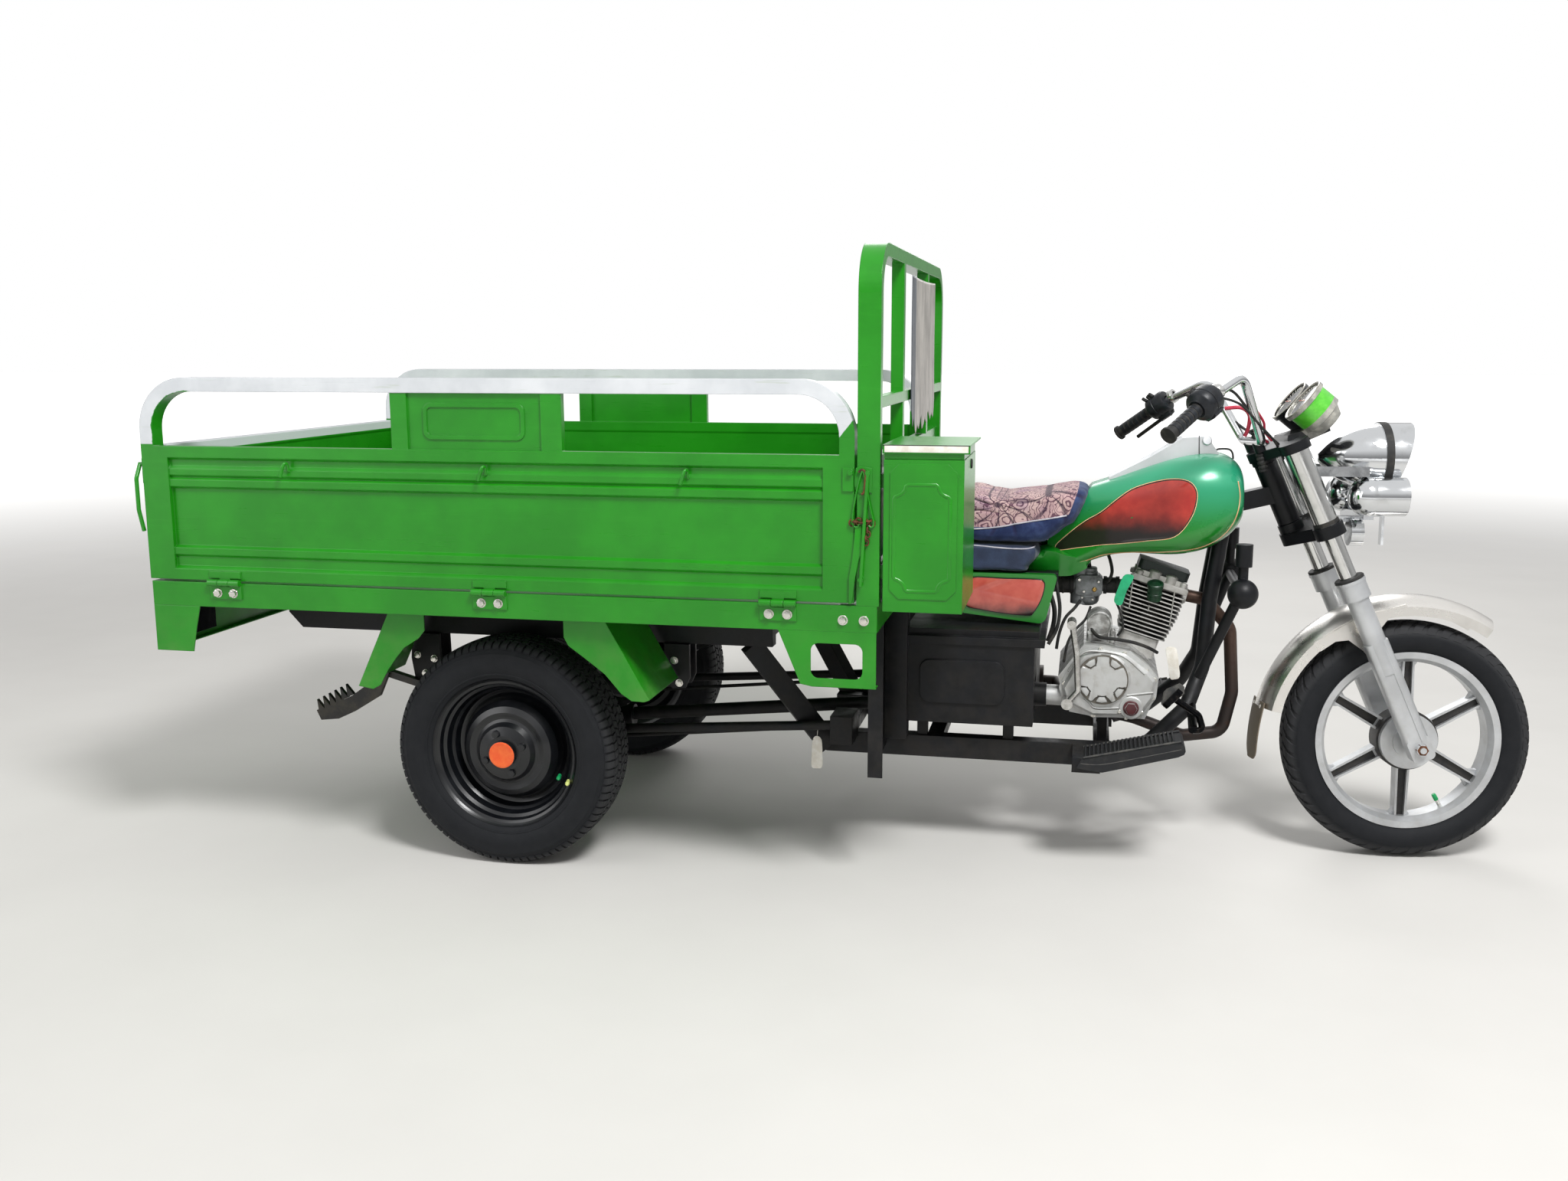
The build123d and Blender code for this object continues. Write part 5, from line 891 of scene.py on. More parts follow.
def latch_chain():
    """Wire loop, rusty chain and flat handle at each front latch, with the plate they hang on."""
    grid = bmesh.new()
    corners = ((1752, 952), (1784, 951), (1787, 955), (1787, 1001), (1783, 1005), (1752, 1005))
    plate = smooth_line([Vector((x, z, 0)) for x, z in corners], 3, True)
    corners = ((1751, 878), (1766, 878), (1769, 822), (1760, 806), (1752, 765), (1745, 706), (1737, 705),
               (1738, 765), (1745, 806), (1747, 822))
    handle = [Vector((x, z, 0)) for x, z in corners]
    loops = (((1766, 1000), (1757, 968), (1749, 926), (1745, 890), (1749, 878), (1757, 876), (1761, 884)),
             ((1767, 1000), (1775, 973), (1780, 940), (1787, 908), (1792, 886), (1788, 876), (1780, 880)))
    hasp = ((1758, 996), (1766, 1001), (1773, 992), (1771, 955), (1765, 948))
    for side in (-1, 1):
        y = side * 644.0
        for outline, low, deep in ((plate, 637.2, 2.4), (handle, 641.0, 3.0)):
            flat = [(p.x, p.y) if side < 0 else (-p.x, p.y) for p in outline]
            prism(grid, flat, axes(place(0, side * low, 0), (-side, 0, 0), (0, 0, 1)), deep, 0.8, 1)
        for loop in loops:
            tube(grid, smooth_line([place(x, y, z) for x, z in loop], 5), 2.1, 8, 1)
        tube(grid, smooth_line([place(x, y, z) for x, z in hasp], 5), 2.6, 8)
        along = [(1744 + k * 7.4, 885 + (k % 3) * 2, "X") for k in range(7)]
        hanging = [(1780 - k * 1.6, 870 - k * 9, "Z") for k in range(4)]
        for index, (x, z, axis) in enumerate(along + hanging):
            turn = Matrix.Rotation(pi / 2 * (index % 2), 3, axis)
            ring = [place(x, y, z) + turn @ Vector((0.0062 * cos(a), 0.0012, 0.0072 * sin(a)))
                    for a in (2 * pi * k / 12 for k in range(13))]
            tube(grid, ring, 1.9, 6)
    return finished("latch_wires", grid, [rust, enamel], "chassis")


def lid_strip():
    """White band along the tool box lid's outer lip, and dark rubber under the lid's edge."""
    grid = bmesh.new()
    face = place(0, -BOX_FACE, 0)
    prism(grid, [(1814, 1040), (1994, 1040), (1994, 1054), (1814, 1054)], axes(face, (1, 0, 0), (0, 0, 1)),
          0.9, 0.4)
    prism(grid, [(1811, 1054.2), (1997, 1054.2), (1997, 1056), (1811, 1056)],
          axes(face, (1, 0, 0), (0, 0, 1)), 0.8, 0.2, material=1)
    return finished("lid_band", grid, [white_band, rubber], "toolbox_lid")


def hung_cloth():
    """Worn sheet on the headboard: soft upright folds, a torn lower edge and a dark near strip."""
    grid = bmesh.new()
    rows, columns = 56, 60
    low_edge = ((-150, 1112), (-120, 1062), (-88, 1084), (-52, 1040), (-20, 1066), (14, 1052), (60, 1088),
                (96, 1046), (150, 1074), (196, 1056), (230, 1092), (270, 1062), (312, 1080), (350, 1064),
                (372, 1118))
    points = []
    for row in range(rows + 1):
        line = []
        for column in range(columns + 1):
            y = -150 + 522 * column / columns
            for (y0, z0), (y1, z1) in zip(low_edge, low_edge[1:]):
                if y0 <= y <= y1:
                    foot = z0 + (z1 - z0) * (y - y0) / (y1 - y0)
            down = row / rows
            z = 1436 - (1436 - foot) * down
            fold = noise.noise(Vector((y / 46, z / 420, 3.1))) * 3.0
            fold += noise.noise(Vector((y / 17, z / 150, 7.7))) * 0.9
            sag = 1.6 * sin(pi * (y + 150) / 522) * (1 - down)
            x = 1804.8 + 4.6 + fold * (0.35 + 0.65 * down)
            line.append(place(max(x, 1805.1), y, z - sag * 3))
        points.append(line)
    skin(grid, points, False, 0.8)
    made = finished("hung_cloth", grid, [film], "chassis", 180)
    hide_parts("hung_sheet")
    return made


def footboard_pads():
    """Foot rests: bracket and tray with a rolled lip, and fine ridges across the tread; the lip and two lines
    along the tray are paler grey rubber as a painted highlight.
    """
    grid = bmesh.new()
    tray = ((2240, 270), (2300, 262.5), (2474, 311), (2487, 318), (2490, 326), (2488, 337), (2482, 344),
            (2472, 343), (2250, 290))
    rise = atan2(53.0, 222.0)
    along = Vector((cos(rise), 0, sin(rise)))
    for side in (-1, 1):
        wall = Vector((-side, 0, 0))
        block = ((2229, 256), (2296, 256), (2296, 294), (2229, 294))
        for outline, low, high, bevel, material in ((block, 212, 330, 2.5, 1), (tray, 230, 339.6, 4.0, 0)):
            flat = [(x, z) if side < 0 else (-x, z) for x, z in outline]
            prism(grid, flat, axes(place(0, side * low, 0), wall, (0, 0, 1)), high - low, bevel, material)
        lip = [place(x, side * 338, z) for x, z in ((2250, 282), (2300, 283), (2380, 303), (2480, 330))]
        # Paler grey lip: painted highlight.
        tube(grid, smooth_line(lip, 6), 2.0, 8, 2)
        for index in range(22):
            higher = Vector((0, 0, (12 + index * 9.6) * 0.239 / 1000))
            at = place(2262 + index * 9.6, side * 282, 290) + higher
            rib = axes(at, along, (0, 1, 0))
            prism(grid, ((-2.4, -47), (2.4, -47), (2.4, 47), (-2.4, 47)), rib, 7.0, 1.4)
        # Paler grey lines along the tray: painted highlight.
        for y in (234, 330):
            tube(grid, [place(2256, side * y, 294), place(2480, side * y, 347)], 3.0, 8, 2)
    made = finished("footboard_rubbers", grid, [foot_rubber, frame_black, pedal_rubber_and_lip_highlight], "chassis")
    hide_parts("footboards")
    return made


def box_panel():
    """Raised outline pressed into the tool box's side, and its round lock."""
    grid = bmesh.new()
    half = [(61, 0), (61, 86), (58, 90), (50, 93), (42, 98), (37, 105), (35, 113), (31, 116.5), (0, 116.5)]
    corners = half + [(-x, z) for x, z in reversed(half[:-1])]
    corners += [(-x, -z) for x, z in half[1:-1]] + [(x, -z) for x, z in reversed(half[1:])]
    line = [place(1896 + x, -635.2, 853.5 + z) for x, z in corners]
    tube(grid, line + line[:1], 6.0, 16)
    lathe(grid, ((0, -1), (11, -1), (11, 2), (9.5, 3.4), (0, 3.4)), place(1986, -470, 1004), (1, 0, 0), 28,
          material=1)
    return finished("box_pressing", grid, [enamel, rubber], "chassis")


# Seat


def loop_shell(grid, stations, shape_of, steps, material=0):
    """Closed form through loops of points, one loop a station, its ends capped by a middle point."""
    part = bmesh.new()
    loops = [[part.verts.new(shape_of(s, k / steps)) for k in range(steps)] for s in stations]
    for first, second in zip(loops, loops[1:]):
        for k in range(steps):
            after = (k + 1) % steps
            part.faces.new((first[k], first[after], second[after], second[k]))
    for loop in (loops[0], loops[-1]):
        heart = part.verts.new(sum((v.co for v in loop), Vector()) / steps)
        for k in range(steps):
            part.faces.new((loop[k], loop[(k + 1) % steps], heart))
    bmesh.ops.recalc_face_normals(part, faces=part.faces)
    absorb(grid, part, material)


def along_outline(outline, share):
    """Point a share of the way round a closed outline."""
    lengths = [(outline[(k + 1) % len(outline)] - p).length for k, p in enumerate(outline)]
    left = share * sum(lengths)
    for k, length in enumerate(lengths):
        if left <= length:
            return outline[k].lerp(outline[(k + 1) % len(outline)], left / length)
        left -= length
    return outline[0]


CUSHION_SIDE = ((1828, 778), (1900, 777), (2000, 776), (2100, 775), (2138, 777), (2160, 787), (2192, 815),
                (2214, 828), (2228, 846), (2240, 874), (2250, 896), (2247, 913), (2224, 920), (2180, 914),
                (2130, 904), (2080, 900), (2040, 896), (2000, 900), (1960, 910), (1910, 908), (1860, 902),
                (1832, 890), (1827, 840))
BASE_SIDE = ((1826, 708), (1960, 707), (2098, 707), (2110, 718), (2132, 745), (2130, 766), (2112, 775),
             (2040, 777), (1940, 779), (1828, 780))


def gather(x, z):
    """Depth of the pinched folds that run out of the cushion's two tied buttons, in millimetres."""
    depth = 0.0
    for place_x, place_z, spokes, phase in BUTTONS:
        dx, dz = x - place_x, (z - place_z) * 1.3
        far = sqrt(dx * dx + dz * dz + 1)
        ridge = abs(sin(0.5 * spokes * atan2(dz, dx) + phase + 0.02 * far))
        depth += 13.0 * (1 - ridge) ** 2.2 * (far / 30 if far < 30 else 1.0) * max(0.0, 1 - far / 130)
        depth += 7.0 * max(0.0, 1 - far / 26) ** 2
    return depth


def soft_block(name, side, half, material, wrinkle, seed, node, round_by=0.42, gathers=False):
    """Stuffed form from its side outline, rounded towards its sides, with folds pressed in."""
    outline = smooth_line([Vector((x, z, 0)) for x, z in side], 4, True)
    heart = sum(outline, Vector()) / len(outline)
    low = min(p.y for p in outline)
    grid = bmesh.new()
    stations = [radians(-88 + 176 * k / 52) for k in range(53)]

    def at(s, share):
        flat = along_outline(outline, share)
        pull = cos(s) ** round_by
        point = heart + (flat - heart) * pull
        y = half * (abs(sin(s)) ** 0.55) * (1 if s > 0 else -1)
        cell = Vector((point.x / 60, y / 60, point.y / 60 + seed))
        fold = noise.noise(cell) + 0.55 * noise.noise(cell * 2.7)
        fold -= 1.1 * abs(noise.noise(cell * 1.6 + Vector((5, 2, 9))))
        push = (flat - heart).normalized() * wrinkle * (fold - 0.15)
        sink = gather(point.x, point.y) if gathers and point.y > 800 else 0.0
        push -= (flat - heart).normalized() * sink * max(pull - 0.35, 0) / 0.65 * 0.8
        y -= (1 if y > 0 else -1) * sink * 0.8 * min(abs(sin(s)) ** 4, 1)
        return place(point.x + push.x, y, max(point.y + push.y, low))

    loop_shell(grid, stations, at, 120)
    made = finished(name, grid, [material], "chassis", 180)
    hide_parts(node)
    smoother = made.modifiers.new("subdivision", "SUBSURF")
    smoother.levels = smoother.render_levels = 1
    return made


def seat():
    """Tied-on cushion over the coated seat, with piping below its print and along the seat's upper edge."""
    cushion = soft_block("tied_cushion", CUSHION_SIDE, 153, cushion_cloth, 4.0, 0.0, "seat_cushion", 0.3,
                         True)
    base = soft_block("coated_seat", BASE_SIDE, 149, seat_cloth, 2.6, 8.3, "seat_base", 0.16)
    tree = BVHTree.FromPolygons([v.co for v in cushion.data.vertices],
                                [list(f.vertices) for f in cushion.data.polygons])
    lower = BVHTree.FromPolygons([v.co for v in base.data.vertices],
                                 [list(f.vertices) for f in base.data.polygons])
    under_print = ((1836, 812), (1920, 813), (2018, 820), (2080, 832), (2140, 843), (2196, 853))
    seat_edge = ((1834, 775), (1900, 774), (1970, 773), (2040, 769), (2090, 768), (2120, 770))
    grid = bmesh.new()
    for side in (-1, 1):
        for shell, corners in ((tree, under_print), (lower, seat_edge)):
            line = smooth_line([Vector((x, z, 0)) for x, z in corners], 8)
            row = [laid(shell, p.x, p.y, side, 0.4) for p in line]
            row = [p for p in row if p]
            if len(row) > 2:
                tube(grid, row, 1.8, 8)
    finished("seat_piping", grid, [piping], "chassis")


# Tank and covers

RED_PANEL = ((2172, 762), (2206, 800), (2244, 832), (2281, 856), (2322, 892), (2360, 918), (2422, 938),
             (2469, 941), (2494, 928), (2501, 899), (2489, 854), (2454, 810), (2391, 797), (2330, 787),
             (2285, 781), (2226, 770))
TANK_FOOT = ((2212, 722), (2250, 736), (2290, 752), (2350, 760), (2410, 764), (2470, 770), (2520, 780),
             (2562, 802), (2588, 832), (2602, 868), (2606, 905), (2600, 940))
COVER_PANEL = ((1958, 690), (2050, 692), (2130, 692), (2143, 688), (2147, 676), (2139, 642), (2120, 608),
               (2106, 603), (2050, 606), (1990, 614), (1956, 622), (1952, 650))


def tank_paint():
    """Red panels with their pin lines on the tank and the covers below the seat."""
    tank = surface_of("fuel_tank")
    grid = bmesh.new()
    for side in (-1, 1):
        mask_panel(grid, tank, RED_PANEL, side)
        mask_line(grid, tank, RED_PANEL, side, 2.2, 1.4, material=1)
        mask_line(grid, tank, RED_PANEL, side, 1.6, 3.4, material=2)
        mask_line(grid, tank, TANK_FOOT, side, 2.4, closed=False, material=2)
        for grow, low, deep, material in ((2.4, 146.0, 6.2, 1), (0.0, 146.0, 6.9, 3)):
            line = grown(smooth_line([Vector((x, z, 0)) for x, z in COVER_PANEL], 3, True), grow)
            flat = [(p.x, p.y) if side < 0 else (-p.x, p.y) for p in line]
            prism(grid, flat, axes(place(0, side * low, 0), (-side, 0, 0), (0, 0, 1)), deep, 0.8, material)
    return finished("painted_panels", grid, [tank_red, pin_dark, pin_cream, cover_red], "chassis", 60)


def tank_tail():
    """The tank's tail where it runs back beside the seat's front to the covers."""
    grid = bmesh.new()
    corners = ((2080, 700), (2140, 700), (2186, 702), (2212, 705), (2238, 718), (2258, 736), (2252, 750),
               (2206, 756), (2164, 768), (2130, 764), (2100, 735))
    edge = smooth_line([Vector((x, z, 0)) for x, z in corners], 4, True)
    for side in (-1, 1):
        flat = [(p.x * -side, (p.y - 770) * 1.05) for p in edge]
        where = axes(place(0, side * 62, 770), (-side, 0, 0), (0, side * 0.32, 0.95))
        prism(grid, flat, where, 36, 16.0, 0, 6)
    return finished("tank_tail", grid, [tank_green], "chassis", 60)


# Engine


def head_casting():
    """Flange of the cylinder head on both sides with its round bosses, and the webs that tie the fins."""
    fore, up = CYLINDER_FORE, CYLINDER_UP
    grid = bmesh.new()
    foot = place(*CYLINDER_FOOT)
    flange = ((-70, 142), (70, 142), (72, 146), (72, 154), (66, 158), (-66, 158), (-72, 154), (-72, 146))
    for side in (-1, 1):
        flat = [(u, v) if side < 0 else (-u, v) for u, v in flange]
        prism(grid, flat, axes(foot + Vector((0, side * 0.044, 0)), fore * -side, up), 15.5, 2.4)
        for at, high, r in ((-55, 170, 9.5), (-18, 181, 17.5), (24, 181, 16.5), (57, 172, 9.5)):
            boss = foot + fore * (at / 1000) + Vector((0, side * (0.0585 - r / 1000), 0))
            cap = [(r * cos(a), high - r * 0.4 + r * 0.4 * sin(a))
                   for a in (pi / 2 * k / 5 for k in range(5))]
            lathe(grid, [(0, 143), (r, 143)] + cap + [(0, high)], boss, up, 28)
        for x0, z0, x1, z1 in ((2363, 683, 2357, 612), (2466, 660, 2457, 570), (2405, 622, 2404, 606)):
            foot_at, top_at = place(x1, side * 59, z1), place(x0, side * 59, z0)
            tube(grid, [foot_at, foot_at.lerp(top_at, 0.5), top_at], 1.7, 8)
    return finished("head_flanges", grid, [head_alloy], "chassis")


def carburettor_trim():
    """Rubber sleeves, body, float bowl, cap and cables of the carburettor, and the round cover's bosses."""
    grid = bmesh.new()
    ribs = ((20, 0), (25, 0), (25, 4), (23.5, 5), (23.5, 14), (25, 15), (25, 19), (23.5, 20), (23.5, 34),
            (26, 35), (26, 44), (20, 44))
    lathe(grid, ribs, place(2174, 0, 660), (1, 0, 0), 36, True, 1)
    lathe(grid, ((15, 0), (23, 0), (23, 8), (20.5, 9), (20.5, 30), (23, 31), (23, 40), (15, 40)),
          place(2292, 0, 660), (1, 0, 0), 36, True, 1)
    body = ((2222, 640), (2232, 634), (2282, 634), (2290, 642), (2290, 678), (2280, 688), (2234, 688),
            (2222, 678))
    prism(grid, body, axes(place(0, 29, 0), (1, 0, 0), (0, 0, 1)), 58, 3.0)
    lathe(grid, ((0, 0), (16, 0), (24, 4), (28.5, 12), (29.5, 22), (31, 23), (31, 28), (0, 28)),
          place(2254, 0, 608), (0, 0, 1), 36)
    lathe(grid, ((0, 0), (22, 0), (22, 6), (20, 8), (20, 15), (17, 18), (0, 18)), place(2256, 0, 688),
          (0, 0, 1), 28)
    lathe(grid, ((0, 0), (5, 0), (5, 4), (3.5, 10), (3.5, 16), (0, 16)), place(2256, 0, 705), (0, 0, 1), 14,
          material=1)
    for x, z, r, material in ((2232, 676, 5, 2), (2244, 646, 4, 2), (2270, 652, 6, 3), (2280, 672, 4, 2),
                              (2240, 630, 3, 2), (2266, 626, 3, 2)):
        lathe(grid, ((0, 0), (r, 0), (r, 4), (r * 0.7, 5.5), (0, 5.5)), place(x, -27, z), (0, -1, 0), 16,
              material=material)
    for side in (-1, 1):
        x = 2256 + side * 17
        bolt(grid, place(x, 0, 693), (0, 0, 1), 4.5, 3.4, 3, 2)
    runs = ((((2256, 0, 718), (2258, -2, 738), (2280, -6, 752), (2320, -8, 760)), 3.2),
            (((2290, -18, 668), (2304, -34, 676), (2312, -34, 700), (2306, -22, 730), (2296, -14, 750)),
             4.2),
            (((2236, -26, 622), (2222, -40, 604), (2200, -52, 580), (2186, -58, 540), (2180, -60, 500)),
             4.0),
            (((2262, -12, 604), (2250, -40, 576), (2226, -62, 552), (2208, -74, 520), (2200, -80, 470)),
             3.4),
            (((2262, -96, 566), (2284, -134, 551), (2324, -143, 548), (2368, -140, 541), (2404, -122, 526),
              (2428, -92, 508)), 4.4),
            (((2330, -96, 548), (2342, -100, 570), (2338, -96, 600), (2326, -80, 626)), 3.0),
            (((2170, -64, 706), (2178, -84, 660), (2186, -90, 610), (2180, -96, 560), (2160, -104, 520)),
             4.6),
            (((2160, -40, 640), (2172, -52, 600), (2170, -60, 560), (2158, -64, 520)), 6.0))
    for points, radius in runs:
        tube(grid, smooth_line([place(*p) for p in points], 7), radius, 8, 1)
    rim = ((26, -1), (31.5, -1), (31.5, 2.5), (30, 4), (27.5, 4), (26, 2.5))
    lathe(grid, rim, place(2285, -105, 578), (0, -1, 0), 40, True, 4)
    for x, z in ((2262, 556), (2318, 556)):
        lathe(grid, ((0, -34), (7, -34), (7, 2), (5.5, 3.5), (0, 3.5)), place(x, -104, z), (0, -1, 0), 20,
              material=4)
        lathe(grid, ((0, 0), (8, 0), (8, 26), (6, 28), (0, 28)), place(x, -98, z - 26), (0, 0, 1), 20,
              material=4)
    return finished("carburettor_fittings", grid, [carb_alloy, rubber, zinc, brass, cast_alloy], "chassis")


def cover_ribs():
    """Star-shaped boss and the cast ribs on the engine's side cover; a dark disc under the star is painted
    shade on its notch floors, and a thin dark line under each rib is painted shadow.
    """
    grid = bmesh.new()
    star = []
    for step in range(180):
        angle = 2 * step
        inner = 1.0
        for notch, half in ((55, 15), (125, 15), (216, 14), (270, 18), (324, 15)):
            gap = abs((angle - notch + 180) % 360 - 180)
            if gap < half + 5:
                inner = min(inner, 0.66 if gap < half else 0.66 + 0.34 * (gap - half) / 5)
        star.append((59 * inner * cos(radians(angle)), 59 * inner * sin(radians(angle))))
    where = axes(place(*COVER_CENTRE), (1, 0, 0), (0, 0, 1))
    # Dark disc under the star: painted shade on the floors of its notches.
    lathe(grid, ((0, 0), (62.5, 0), (62.5, 2.4), (61.7, 3.0), (0, 3.0)), place(*COVER_CENTRE), (0, -1, 0),
          64, material=2)
    prism(grid, star, where, 9.0, 2.6)
    for notch in (55, 125, 216, 270, 324):
        lobe = [(r * cos(radians(notch + a)), r * sin(radians(notch + a)))
                for r, a in ((42.5, -9), (51, -13), (57, -13.5), (57.6, 0), (57, 13.5), (51, 13), (42.5, 9))]
        prism(grid, lobe, where, 6.4, 2.2)
    for points in (((2250, 404), (2266, 392), (2282, 378), (2338, 381)), ((2356, 414), (2419, 424)),
                   ((2212, 470), (2246, 516), (2290, 522), (2344, 512), (2396, 470)),
                   ((2352, 470), (2352, 440))):
        line = smooth_line([place(x, -172.2, z) for x, z in points], 5)
        tube(grid, line, 2.4, 8)
        # Thin dark line just under each rib: painted shadow.
        tube(grid, [p + Vector((0, 0.0012, -0.0026)) for p in line], 1.5, 6, 2)
    lathe(grid, ((22, -1), (29, -1), (29, 1.5), (26.5, 3.4), (22, 3.4)), place(2367, -173, 383), (0, -1, 0),
          40, True)
    pad = ((2440, 443), (2446, 450), (2476, 466), (2487, 458), (2488, 442), (2464, 417), (2441, 406),
           (2436, 416))
    prism(grid, pad, axes(place(0, -236, 0), (1, 0, 0), (0, 0, 1)), 9, 3.0, material=1)
    return finished("side_cover_ribs", grid, [cast_alloy, pedal_rubber_and_lip_highlight, painted_recess_shade], "chassis")


def engine_trim():
    """Cover screws, plug boot, blank tags and the brown filler cap."""
    grid = bmesh.new()
    for x, z in ((2204, 434), (2238, 503), (2289, 523), (2347, 515), (2401, 474), (2421, 452), (2418, 408),
                 (2387, 361), (2277, 357), (2212, 389)):
        at = place(x, -156, z)
        lathe(grid, ((0, -1), (6.4, -1), (6.4, 5.4), (5.4, 6.4), (3.4, 6.4), (3.4, 3.2), (0, 3.2)), at,
              (0, -1, 0), 20)
    for x, z in ((2340, 372), (2356, 356), (2394, 372)):
        lathe(grid, ((0, -1), (4.4, -1), (4.4, 3.4), (3.6, 4), (0, 4)), place(x, -172, z), (0, -1, 0), 16)
    prism(grid, hexagon(14.5), axes(place(2367, -179, 383), (1, 0, 0), (0, 0, 1)), 9, 1.2, material=1)
    lathe(grid, ((0, 0), (19, 0), (19, 4.0), (17.5, 5.2), (0, 5.2)), place(2367, -175, 383), (0, -1, 0), 32,
          material=1)
    finished("cover_screws", grid, [zinc, filler_brown], "chassis")
    grid = bmesh.new()
    stand = Vector((0.02, -0.34, 0.94)).normalized()
    lathe(grid, ((0, 0), (15, 0), (17, 2), (17.5, 8), (17.5, 16), (18.5, 17), (18.5, 22), (17.5, 23),
                 (17.8, 34), (19.5, 36), (20.5, 40), (20.5, 47), (18, 49), (15, 49), (14, 44), (0, 42)),
          place(2417, -60, 636), stand, 32)
    finished("plug_boot", grid, [plug_green], "chassis")
    head_casting()
    carburettor_trim()
    cover_ribs()
    grid = bmesh.new()

    def tag(corners, y, tilt, material):
        line = smooth_line([Vector((x, z, 0)) for x, z in corners], 3, True)
        prism(grid, [(p.x, p.y) for p in line], axes(place(0, y, 0), (1, tilt, 0), (0, 0, 1)), 0.9, 0.3,
              material=material)

    tag(((2338, 700), (2352, 706), (2364, 698), (2348, 664), (2338, 630), (2326, 628), (2318, 640),
         (2326, 668)), -104, 0.0, 1)
    tag(((2444, 534), (2456, 540), (2470, 534), (2476, 500), (2480, 466), (2468, 459), (2457, 462),
         (2450, 500)), -168, 0.0, 0)
    tag(((1585, 284), (1596, 294), (1608, 284), (1610, 250), (1610, 214), (1596, 209), (1582, 213),
         (1583, 250)), -268, 0.0, 0)
    tube(grid, [place(1596, -268.5, 288), place(1597, -264, 306), place(1597, -262, 318)], 0.8, 6)
    finished("blank_tags", grid, [white_band, tag_green], "chassis", 60)


# Wheels


def tread_block(grid, profile, low, high, centre, skew=0.0, mirror_side=1):
    """Tread block: an outline of place across and radius, run from one angle to another."""
    part = bmesh.new()
    ends = []
    for angle in (low, (low + high) / 2, high):
        ring = []
        for across, radius in profile:
            a = angle + skew * abs(across)
            spot = Vector((cos(a) * radius, mirror_side * across, sin(a) * radius)) / 1000
            ring.append(part.verts.new(centre + spot))
        ends.append(ring)
    count = len(profile)
    for first, second in zip(ends, ends[1:]):
        for k in range(count):
            part.faces.new((first[k], first[(k + 1) % count], second[(k + 1) % count], second[k]))
    part.faces.new(ends[0][::-1])
    part.faces.new(ends[-1])
    bmesh.ops.recalc_face_normals(part, faces=part.faces)
    absorb(grid, part)


def mirrored_ring(half):
    """Closed outline of a tyre from its half, with places across made both signs."""
    return [(r, a) for r, a in half] + [(r, -a) for r, a in reversed(half)]


def rear_tyre(side, name):
    """Road tyre: rows of small tread blocks, notched shoulders and ringed side walls."""
    centre = place(REAR_AXLE.x, (1 if side == "left" else -1) * HALF_TRACK, REAR_AXLE.z)
    half = ((276.2, 0.01), (276, 30), (274.5, 58), (271, 66), (265, 72.6), (258, 76.4), (254, 78.2),
            (253, 79.2), (250, 79.8), (248, 79.4), (236, 82.2), (222, 81.5), (210, 78), (203, 74.4),
            (201.5, 75), (198.5, 73.8), (197.5, 72.0), (191, 68.2), (188.4, 66), (185, 60), (181, 48),
            (181, 0.01))
    grid = bmesh.new()
    lathe(grid, mirrored_ring(half), centre, (0, 1, 0), 96, True)
    pitches = 84
    pitch = 2 * pi / pitches
    for index in range(pitches):
        a = index * pitch
        for sign in (-1, 1):
            b = a + (pitch / 2 if sign > 0 else 0)
            tread_block(grid, ((2.5, 275), (22, 275), (22, 281.8), (2.5, 282)), b, b + pitch * 0.78, centre,
                        0.0012, sign)
            tread_block(grid, ((26, 274), (45, 273), (45, 280.6), (26, 281.6)), b + pitch * 0.3,
                        b + pitch * 1.08, centre, -0.0008, sign)
            tread_block(grid, ((48.5, 272), (60, 268), (73, 262.5), (74.6, 264), (71.4, 270.6), (66, 275.4),
                               (58, 278.8), (48.5, 280.4)), b, b + pitch * 0.74, centre, 0.0, sign)
    made = finished(name, grid, [rear_rubber[side]], f"rear_wheel_set_{side}", 30)
    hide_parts(f"rear_tyre_{side}")


def front_tyre_piece():
    """Motorcycle tyre with a round crown and slanted tread blocks to its shoulders."""
    centre = place(*FRONT_AXLE)
    half = ((292.5, 0.01), (291.5, 14), (288, 30), (282, 42), (275, 48.6), (264, 53), (254, 54),
            (243, 52.4), (232, 47.5), (226.5, 43), (224, 40.5), (221, 36), (216, 30), (216, 0.01))
    grid = bmesh.new()
    lathe(grid, mirrored_ring(half), centre, (0, 1, 0), 96, True)
    pitches = 52
    pitch = 2 * pi / pitches
    for index in range(pitches):
        a = index * pitch
        for sign in (-1, 1):
            b = a + (pitch / 2 if sign > 0 else 0)
            tread_block(grid, ((0.6, 291), (11, 290.5), (11, 296.4), (0.6, 297)), b, b + pitch * 0.8,
                        centre, 0.002, sign)
            tread_block(grid, ((14, 289.5), (27, 286.5), (28, 292.4), (14, 295.8)), b + pitch * 0.15,
                        b + pitch * 0.85, centre, 0.0035, sign)
            tread_block(grid, ((30, 286), (41, 280), (50, 268.5), (52, 269.5), (45.5, 282), (39, 288.2),
                               (30, 291.8)), b + pitch * 0.3, b + pitch * 0.92, centre, 0.003, sign)
    made = finished("front_tyre_treaded", grid, [front_rubber], "front_wheel_set", 30, turned=True)
    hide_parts("front_tyre")


